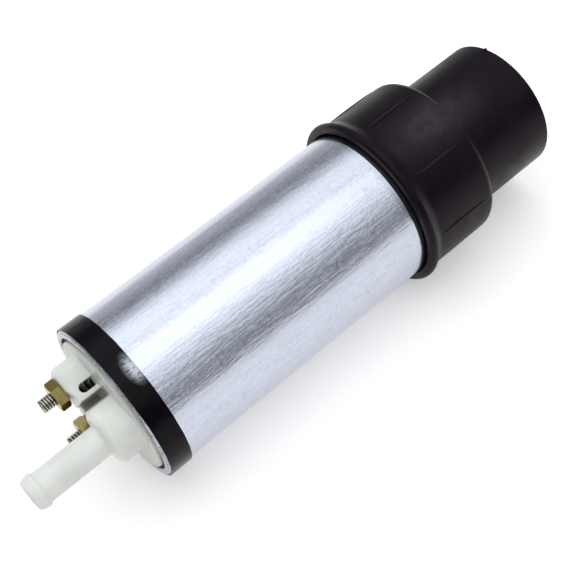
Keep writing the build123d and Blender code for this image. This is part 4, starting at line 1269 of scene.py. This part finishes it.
@dataclass
class OutletCap(SubAssembly):
    """The nylon cap: flange, boss with the hose pipe, two towers and a domed well."""

    flange: float = 18.6
    flange_round: float = 0.5
    face: float = 132.6
    cut_level: float = 129.0
    overlap: float = 0.4
    root: float = 1.0
    boss_centre: Point = (-5.1, -7.5)
    boss: float = 7.5
    boss_top: float = 139.7
    boss_round: float = 1.8
    pipe: float = 4.0
    pipe_foot: float = 0.5
    bore: float = 2.6
    bore_funnel: Point = (0.3, 0.5)
    barb: float = 4.7
    barb_round: float = 0.30
    tip: float = 3.9
    tip_round: float = 0.75
    pipe_top: float = 160.3
    barb_cone: float = 2.8
    barb_ramp: float = 0.5
    chamber: float = 3.6
    chamber_top: float = 134.0
    tower_outer: float = 15.3
    tower_side: float = 4.5
    tower_half: float = 7.5
    tower_corner: float = 2.0
    tower_top: float = 139.3
    tower_round: float = 1.7
    tower_step: float = 8.7
    tower_drop: float = 1.0
    window_low: float = 132.7
    window_high: float = 136.9
    window_x: float = 5.8
    window_width: float = 2.4
    window_steps: int = 12
    second_low: Point = (-6.6, 3.4)
    second_high: Point = (4.6, 12.6)
    second_top: float = 137.6
    second_round: float = 0.6
    well_x: float = 8.4
    well: float = 4.0
    well_bore: float = 2.8
    well_top: float = 137.1
    well_roof: float = 1.0
    voxel: float = 0.25
    soften: int = 5

    def tower_outline(self) -> list[Point]:
        """The taller tower's footprint, whose outer side follows the flange.

        Returns:
            The footprint's points, anticlockwise.
        """
        reach, half, corner = self.tower_outer, self.tower_half, self.tower_corner
        start = math.asin(half / reach)
        edge = reach * math.cos(start)
        points = [(self.tower_side, -half, 0.0), (edge, -half, corner)]
        for step in range(2, 7):
            angle = start * (step / 8 * 2 - 1)
            points.append((reach * math.cos(angle), reach * math.sin(angle), 0.0))
        points += [(edge, half, corner), (self.tower_side, half, 0.0)]
        return rounded(points)

    def build_pipe(self) -> Piece:
        """Turns the boss and the hose pipe with its barb in one piece.

        Returns:
            The closed shape, with no bore yet.
        """
        corners = [
            (0.0, self.cut_level, 0.0),
            (self.boss, self.cut_level, 0.0),
            (self.boss, self.boss_top, self.boss_round),
            (self.pipe, self.boss_top, self.pipe_foot),
            (self.pipe, self.pipe_top - self.barb_cone - self.barb_ramp, 0.0),
            (self.barb, self.pipe_top - self.barb_cone, self.barb_round),
            (self.tip, self.pipe_top, self.tip_round),
            (0.0, self.pipe_top, 0.0),
        ]
        return lathe("cap_pipe", rounded(corners), centre=self.boss_centre)

    def build_towers(self) -> list[Piece]:
        """Makes both towers and the domed well, before anything is cut from them.

        Returns:
            The closed shapes.
        """
        foot, corner, roof = self.face - self.root, self.tower_corner, self.well_roof
        (left, front), (right, back) = self.second_low, self.second_high
        block = [(left, front), (right, front), (right, back), (left, back)]
        block = rounded([(x, y, corner) for x, y in block])
        return [
            pillar("cap_tower", self.tower_outline(), foot, self.tower_top, self.tower_round),
            pillar("cap_second_tower", block, foot, self.second_top, self.second_round),
            slug("cap_well", self.well, foot, self.well_top + roof, 64, (-self.well_x, 0.0), roof),
        ]

    def build_cutters(self) -> list[Piece]:
        """Makes what is cut out: the step on the tower, the window, the bore and the wells.

        Returns:
            The closed shapes to cut away.
        """
        across, clear, behind, above = 20.0, 1.0, 1.5, 0.2
        top, back, x = self.tower_top, self.tower_side - behind, self.window_x
        step = [(back, top - self.tower_drop), (x, top - self.tower_drop), (self.tower_step, top)]
        step += [(self.tower_step, top + clear), (back, top + clear)]
        low, high, half = self.window_low, self.window_high, self.window_width / 2
        arch = [(x, low), (x + 2 * half, low)]
        for number in range(self.window_steps + 1):
            turn = math.pi * number / self.window_steps
            arch.append((x + half + half * math.cos(turn), high - half + half * math.sin(turn)))
        below, past = self.cut_level - clear, self.pipe_top + above
        wider, deep = self.bore_funnel
        bore = [
            (0.0, below),
            (self.chamber, below),
            (self.chamber, self.chamber_top),
            (self.bore, self.chamber_top),
            (self.bore, self.pipe_top - deep),
            (self.bore + wider, past),
            (0.0, past),
        ]
        return [
            slab("step_cut", step, -across, across),
            slab("window_cut", arch, -across, 0.0),
            lathe("bore_cut", bore, 64, self.boss_centre),
            slug("well_cut", self.well_bore, below, self.well_top, centre=(self.well_x, 0.0)),
            slug("well_cut", self.well_bore, below, self.well_top, centre=(-self.well_x, 0.0)),
        ]

    def build_skirt(self) -> Piece:
        """Keeps the hidden lower part of the CAD cap and closes it where it is cut.

        Returns:
            The skirt.
        """
        skirt = merged_copy("cap_lower", self.shop.frame["nodes"]["outlet_cap"])
        with opened(skirt.data) as shape:
            bmesh.ops.bisect_plane(
                shape,
                geom=[*shape.verts, *shape.edges, *shape.faces],
                plane_co=(0.0, 0.0, (self.cut_level + self.overlap) * MM),
                plane_no=(0.0, 0.0, 1.0),
                clear_outer=True,
            )
            rims = [edge for edge in shape.edges if edge.is_boundary]
            for face in bmesh.ops.triangle_fill(shape, edges=rims, use_beauty=True)["geom"]:
                if isinstance(face, bmesh.types.BMFace) and face.normal.z < 0:
                    face.normal_flip()
        return skirt

    def build(self) -> None:
        """Builds the cap's outer moulding, softens its joints and adds the hidden skirt."""
        plate = (self.flange, self.cut_level, self.face)
        cap = slug("outlet_cap_moulding", *plate, 128, edge=self.flange_round, steps=5)
        combine(cap, [self.build_pipe(), *self.build_towers()], "UNION")
        combine(cap, self.build_cutters(), "DIFFERENCE")
        modify(cap, "REMESH", mode="VOXEL", voxel_size=self.voxel * MM)
        modify(cap, "SMOOTH", factor=0.5, iterations=self.soften)
        settle(cap)
        absorb(cap, [self.build_skirt()])
        self.shop.fit(shade(cap, Shading.SMOOTH), "cap_nylon", "outlet_cap")


@dataclass
class Terminal(SubAssembly):
    """A threaded stud with its hexagon nut, and a washer where it has one."""

    name: str
    size: str
    centre: Point
    radius: float
    root: float
    pitch: float
    thread_low: float
    tip: float
    head: float
    head_x: float
    head_low: float
    head_high: float
    nut_low: float
    nut_height: float
    flats: float
    nut_turn: float
    washer: float = 0.0
    washer_height: float = 0.0
    washer_gap: float = 0.1
    washer_round: float = 0.12
    chamfer_deg: float = 28.0
    funnel: float = 0.35
    bevel: float = 0.10
    around: int = 57
    rings_per_turn: int = 14

    def build(self) -> None:
        """Builds the stud, the nut and the washer."""
        self.build_stud()
        self.build_nut()
        if self.washer:
            self.build_washer()

    def build_stud(self) -> None:
        """Makes the stud: its thread, its plain shank and its head."""
        (x, y), length, sunk = self.centre, self.tip - self.thread_low, 0.1
        lengths = {"X": x, "Y": y, "Base": self.thread_low, "Length": length}
        lengths |= {"Crest": self.radius, "Root": self.root, "Pitch": self.pitch}
        stud = self.shop.thread.make(
            f"{self.name}_stud",
            self.shop.finishes["stud_zinc"],
            lengths,
            Around=self.around,
            Rings=int(length / self.pitch * self.rings_per_turn),
        )
        low, high = self.head_high - sunk, self.thread_low + self.pitch
        shank = slug("shank", self.root, low, high, centre=self.centre)
        low, high = self.head_low, self.head_high
        head = slug("stud_head", self.head, low, high, centre=(self.head_x, y))
        absorb(stud, [shank, head])
        self.shop.fit(stud, "stud_zinc", f"stud_{self.size}")

    def spool(
        self, name: str, ends: float, past: float, middle: float, rise: float, segments: int
    ) -> Piece:
        """Turns a shape that ends past the nut's faces and has its middle inside of them.

        Args:
            name: the object's name.
            ends: radius at both ends.
            past: how far the ends reach past the nut's faces.
            middle: radius of the middle.
            rise: how far the middle stays inside of the nut's faces.
            segments: steps round the axis.

        Returns:
            The new object.
        """
        low, high = self.nut_low, self.nut_low + self.nut_height
        outline = [(0.0, low - past), (ends, low - past), (middle, low + rise)]
        outline += [(middle, high - rise), (ends, high + past), (0.0, high + past)]
        return lathe(name, outline, segments, self.centre)

    def build_nut(self) -> None:
        """Makes the nut: a hexagon with its corners turned off, and softened edges."""
        (x, y), spare, skin = self.centre, 0.1, 0.01
        corner, cone = self.flats / math.sqrt(3), self.flats / 2 - spare
        hexagon = []
        for index in range(6):
            angle = math.radians(self.nut_turn) + FULL_TURN * index / 6
            hexagon.append((x + corner * math.cos(angle), y + corner * math.sin(angle)))
        high = self.nut_low + self.nut_height
        nut = pillar(f"{self.name}_nut", hexagon, self.nut_low, high, skin, 1)
        wide = corner + 2 * spare
        rise = (wide - cone) * math.tan(math.radians(self.chamfer_deg))
        combine(nut, [self.spool("nut_spindle", cone, skin, wide, rise, 96)], "INTERSECT")
        mouth, deep = self.radius + self.funnel, self.funnel + spare
        combine(nut, [self.spool("nut_hole", mouth, spare, self.root, deep, 48)], "DIFFERENCE")
        sharpest = math.radians(25)
        soft = {"width": self.bevel * MM, "segments": 2, "limit_method": "ANGLE"}
        modify(nut, "BEVEL", **soft, angle_limit=sharpest)
        self.shop.fit(shade(settle(nut)), "nut_brass", f"nut_{self.size}")

    def build_washer(self) -> None:
        """Makes the washer under the nut."""
        low, high = self.nut_low - self.washer_height, self.nut_low
        hole, rim, soft = self.radius + self.washer_gap, self.washer, self.washer_round
        corners = [(hole, low, 0.0), (rim, low, soft), (rim, high, soft), (hole, high, 0.0)]
        washer = lathe(f"{self.name}_washer", rounded(corners, 3), 72, self.centre)
        self.shop.fit(shade(washer), "washer_steel", f"washer_{self.size}")


@dataclass
class RubberSleeve(SubAssembly):
    """The stepped rubber sleeve on the inlet end, with its mould lines."""

    neck: float = 18.25
    mouth: float = 15.1
    mouth_depth: float = 20.0
    throat: float = 13.6
    neck_length: float = 24.6
    neck_round: float = 1.9
    shoulder: float = 22.8
    shoulder_round: float = 2.5
    lip: float = 24.15
    lip_band: float = 1.6
    lip_round: float = 1.0
    lip_foot: float = 0.8
    flare: float = 4.0
    flare_round: float = 3.0
    top: float = 48.6
    floor: float = 28.6
    socket: float = 21.55
    entry: Point = (0.4, 0.8)
    inner_round: float = 0.2
    rib_low: float = 28.4
    rib_high: float = 43.6
    rib_width: float = 0.62
    rib_count: int = 8
    first_rib_deg: float = -5.0
    flash_deg: float = -45.0
    segments: int = 176

    def build(self) -> None:
        """Turns the sleeve, adds its mould lines and the flash at its mouth."""
        (wider, deep), soft = self.entry, self.inner_round
        corners = [
            (self.mouth, 0.0, 0.4),
            (self.neck, 0.0, 0.5),
            (self.neck, self.neck_length, self.neck_round),
            (self.shoulder, self.neck_length, self.shoulder_round),
            (self.shoulder, self.top - self.flare, self.flare_round),
            (self.lip, self.top - self.lip_band, self.lip_foot),
            (self.lip, self.top, self.lip_round),
            (self.socket + wider, self.top, soft),
            (self.socket, self.top - deep, soft),
            (self.socket, self.floor, soft),
            (self.throat, self.floor, soft),
            (self.throat, self.mouth_depth, soft),
            (self.mouth, self.mouth_depth, soft),
        ]
        sleeve = shade(lathe("inlet_sleeve", rounded(corners), self.segments))
        lengths = {"Low": self.rib_low, "High": self.rib_high, "Width": self.rib_width / 2}
        ribs = self.shop.rib.make(
            "sleeve_mould_lines",
            self.shop.finishes["sleeve_rubber"],
            {"Radius": self.shoulder, **lengths},
            First=math.radians(self.first_rib_deg),
            Ribs=self.rib_count,
        )
        absorb(sleeve, [ribs, self.flash()])
        self.shop.fit(sleeve, "sleeve_rubber", "rubber_sleeve")

    def flash(self) -> Piece:
        """A scrap of moulding flash on the mouth's edge, in line with one of the mould lines.

        Returns:
            The scrap.
        """
        turn = math.radians(self.flash_deg)
        corners = [(0.0, 0.05, 0.0), (0.45, 0.2, 0.15), (0.3, 0.9, 0.2), (0.0, 1.0, 0.0)]
        centre = (self.neck * math.cos(turn), self.neck * math.sin(turn))
        return lathe("mouth_flash", rounded(corners, 3), 16, centre)


@dataclass
class SpringSet(SubAssembly):
    """The springs, as round wire, each filling the height of its CAD node."""

    steps_per_turn: int = 28

    def build(self) -> None:
        """Winds each spring to the height of its CAD node."""
        for node, x, y, radius, wire, turns, joint, fixed, travel in (
            ("brush_spring_a", 8.4, 0.0, 2.2, 0.6, 7, "brush_a_slide", 136.3, 3.0),
            ("brush_spring_b", -8.4, 0.0, 2.2, 0.6, 7, "brush_b_slide", 137.1, 3.0),
            ("check_spring", -5.1, -7.5, 2.2, 0.5, 4, "check_valve_lift", 134.0, 2.5),
            ("relief_spring", 13.6, 0.0, 1.15, 0.4, 5, "relief_valve_lift", 36.0, 1.5),
        ):
            low, high = (corner.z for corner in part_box(node))
            coil = self.shop.coil.make(
                f"{node}_wire",
                self.shop.finishes["spring_steel"],
                {"X": x, "Y": y, "Radius": radius, "Wire": wire / 2},
                Base=low + wire / 2 * MM,
                Height=high - low - wire * MM,
                Turns=float(turns),
                Steps=self.steps_per_turn,
            )
            self.shop.fit(coil, "spring_steel", node)
            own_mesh(coil)


def level(turn_deg: float) -> Corner:
    """A direction at right angles to the pump, turned from +X toward -Y."""
    turn = math.radians(turn_deg)
    return (math.cos(turn), -math.sin(turn), 0.0)


@dataclass
class Studio:
    """Floor, light and camera of the photograph.

    The lamp's place is given in the camera's own terms, in metres: right, up and back toward
    the camera. The walls are the room's brightness from the floor round to the ceiling.
    """

    focal: float = 72.55
    film: float = 36.0
    nearest: float = 0.01
    elevation_deg: float = 18.08
    roll_deg: float = -128.26
    camera: Corner = (-4.5, -279.1, 171.0)
    pump_middle: float = 85.0
    floor_turn_deg: float = 55.0
    floor_gap: float = 24.0
    floor_reach: float = 0.45
    floor_colour: Colour = (0.93, 0.90, 0.895)
    floor_glow: float = 0.34
    ceiling_turn_deg: float = 63.0
    bright_side: float = 1.45
    tint: Colour = (0.985, 1.0, 1.02)
    walls: tuple[Point, ...] = (
        *((0.0, 0.75), (0.44, 0.50), (0.56, 0.38), (0.67, 0.19)),
        *((0.77, 0.44), (0.86, 1.00), (0.92, 1.20), (1.0, 1.20)),
    )
    lamp: Corner = (0.10, 0.40, 0.52)
    lamp_size: float = 0.30
    lamp_power: float = 0.2

    def axes(self) -> Matrix:
        """The camera's turn: its columns are the camera's right, up and back directions."""
        tilt = Matrix.Rotation(math.radians(90 - self.elevation_deg), 3, "X")
        return tilt @ Matrix.Rotation(math.radians(self.roll_deg), 3, "Z")

    def build_camera(self) -> None:
        """Places the camera where the photograph was taken from."""
        lens = bpy.data.cameras.new("photo_camera")
        lens.lens, lens.sensor_width, lens.clip_start = self.focal, self.film, self.nearest
        camera = linked("photo_camera", lens)
        place = Matrix.Translation(Vector(self.camera) * MM)
        camera.matrix_world = place @ self.axes().to_4x4()
        bpy.context.scene.camera = camera

    def build_floor(self) -> None:
        """Makes the table top, which is seen from its upper side only."""
        up, along = Vector(level(self.floor_turn_deg)), Vector((0, 0, 1))
        centre = Vector((0, 0, self.pump_middle)) * MM - up * self.floor_gap * MM
        across = up.cross(along).normalized()
        corners = [
            centre + across * (a * self.floor_reach) + along * (b * self.floor_reach)
            for a, b in ((-1, -1), (1, -1), (1, 1), (-1, 1))
        ]
        mesh = bpy.data.meshes.new("table_top")
        mesh.from_pydata(corners, [], [(0, 1, 2, 3)])
        if mesh.polygons[0].normal.dot(up) < 0:
            mesh.flip_normals()
        floor = linked("table_top", mesh)
        floor.data.materials.append(self.floor_material())

    def floor_material(self) -> bpy.types.Material:
        """White table: it keeps shadows, shows white to the camera and nothing from below.

        Returns:
            The material.
        """
        made = bpy.data.materials.new("table_white")
        shader = ShaderTree.of(made)
        diffuse = shader.out("BsdfDiffuse", {"Color": self.floor_colour})
        ray = shader.node("LightPath").outputs
        seen = shader.math("MAXIMUM", ray["Is Camera Ray"], ray["Is Glossy Ray"])
        seen = shader.math("MAXIMUM", seen, ray["Is Transmission Ray"])
        glow = shader.out("Emission", {"Strength": shader.times(seen, self.floor_glow)})
        both = shader.out("AddShader", {0: diffuse, 1: glow})
        below = shader.node("NewGeometry").outputs["Backfacing"]
        feeds = {0: below, 1: both, 2: shader.out("BsdfTransparent")}
        shader.node("OutputMaterial", {"Surface": shader.out("MixShader", feeds)})
        return made

    def build_world(self) -> None:
        """A white room above the table that is darker toward its far walls."""
        world = bpy.data.worlds.new("studio_room")
        bpy.context.scene.world = world
        shader = ShaderTree.of(world)
        direction = shader.node("TexCoord").outputs["Generated"]
        height = shader.vector("DOT_PRODUCT", direction, level(self.ceiling_turn_deg))
        room = shader.node("ValToRGB", {0: shader.math("MULTIPLY_ADD", height, 0.5, 0.5)})
        bar = room.color_ramp
        while len(bar.elements) < len(self.walls):
            bar.elements.new(0.5)
        for element, (place, light) in zip(bar.elements, self.walls):
            element.position = place
            element.color = (*(light * share for share in self.tint), 1.0)
        side = shader.out("SeparateXYZ", {0: direction})
        lift = shader.ramp(side, 0.45, 1.0, 1.0, self.bright_side)
        seen = shader.node("LightPath").outputs["Is Camera Ray"]
        white = shader.mix(seen, room.outputs[0], (1.0, 1.0, 1.0))
        strength = shader.math("MULTIPLY_ADD", seen, shader.math("SUBTRACT", 1.0, lift), lift)
        sky = shader.out("Background", {"Color": white, "Strength": strength})
        shader.node("OutputWorld", {"Surface": sky})

    def build_lamp(self) -> None:
        """Places one soft lamp that points at the pump's middle."""
        lamp = bpy.data.lights.new("key_light", "AREA")
        lamp.shape, lamp.size, lamp.energy = "SQUARE", self.lamp_size, self.lamp_power
        middle = Vector((0, 0, self.pump_middle)) * MM
        place = middle + self.axes() @ Vector(self.lamp)
        aim = (middle - place).to_track_quat("-Z", "Y").to_matrix().to_4x4()
        linked("key_light", lamp).matrix_world = Matrix.Translation(place) @ aim

    def build(self) -> None:
        """Sets up the whole studio."""
        bpy.context.scene.view_settings.view_transform = "Standard"
        self.build_camera()
        self.build_floor()
        self.build_world()
        self.build_lamp()
        log.info("studio ready")


def terminals(shop: Workshop) -> list[Terminal]:
    """The two terminals with their real thread sizes.

    Args:
        shop: what the terminals are built with.

    Returns:
        The smaller terminal, on the taller tower, and the larger one.
    """
    small = Terminal(
        shop, "small_terminal", "m4", (9.6, 0.0), radius=2.0, root=1.62, pitch=0.7,
        thread_low=138.2, tip=145.5, head=2.75, head_x=8.4, head_low=136.3, head_high=137.1,
        nut_low=139.3, nut_height=2.8, flats=7.0, nut_turn=48.0,
    )
    large = Terminal(
        shop, "large_terminal", "m5", (-1.8, 8.0), radius=2.5, root=2.06, pitch=0.8,
        thread_low=136.3, tip=144.7, head=3.0, head_x=-1.8, head_low=126.2, head_high=127.0,
        nut_low=138.2, nut_height=3.0, flats=8.0, nut_turn=5.0, washer=4.1, washer_height=0.6,
    )
    return [small, large]


def main() -> None:
    """Builds the pump's looks round the frame, piece by piece."""
    logging.basicConfig(level=logging.INFO, format="%(name)s: %(message)s")
    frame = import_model()
    shop = Workshop(frame, FinishBook(SharedEffects()), thread_tree(), coil_tree(), rib_tree())
    shop.repaint()
    tube = SteelTube(shop)
    tube.build_tube()
    tube.build_band()
    OutletCap(shop).build()
    for terminal in terminals(shop):
        terminal.build()
    RubberSleeve(shop).build()
    SpringSet(shop).build()
    Studio().build()


if __name__ == "__main__":
    main()
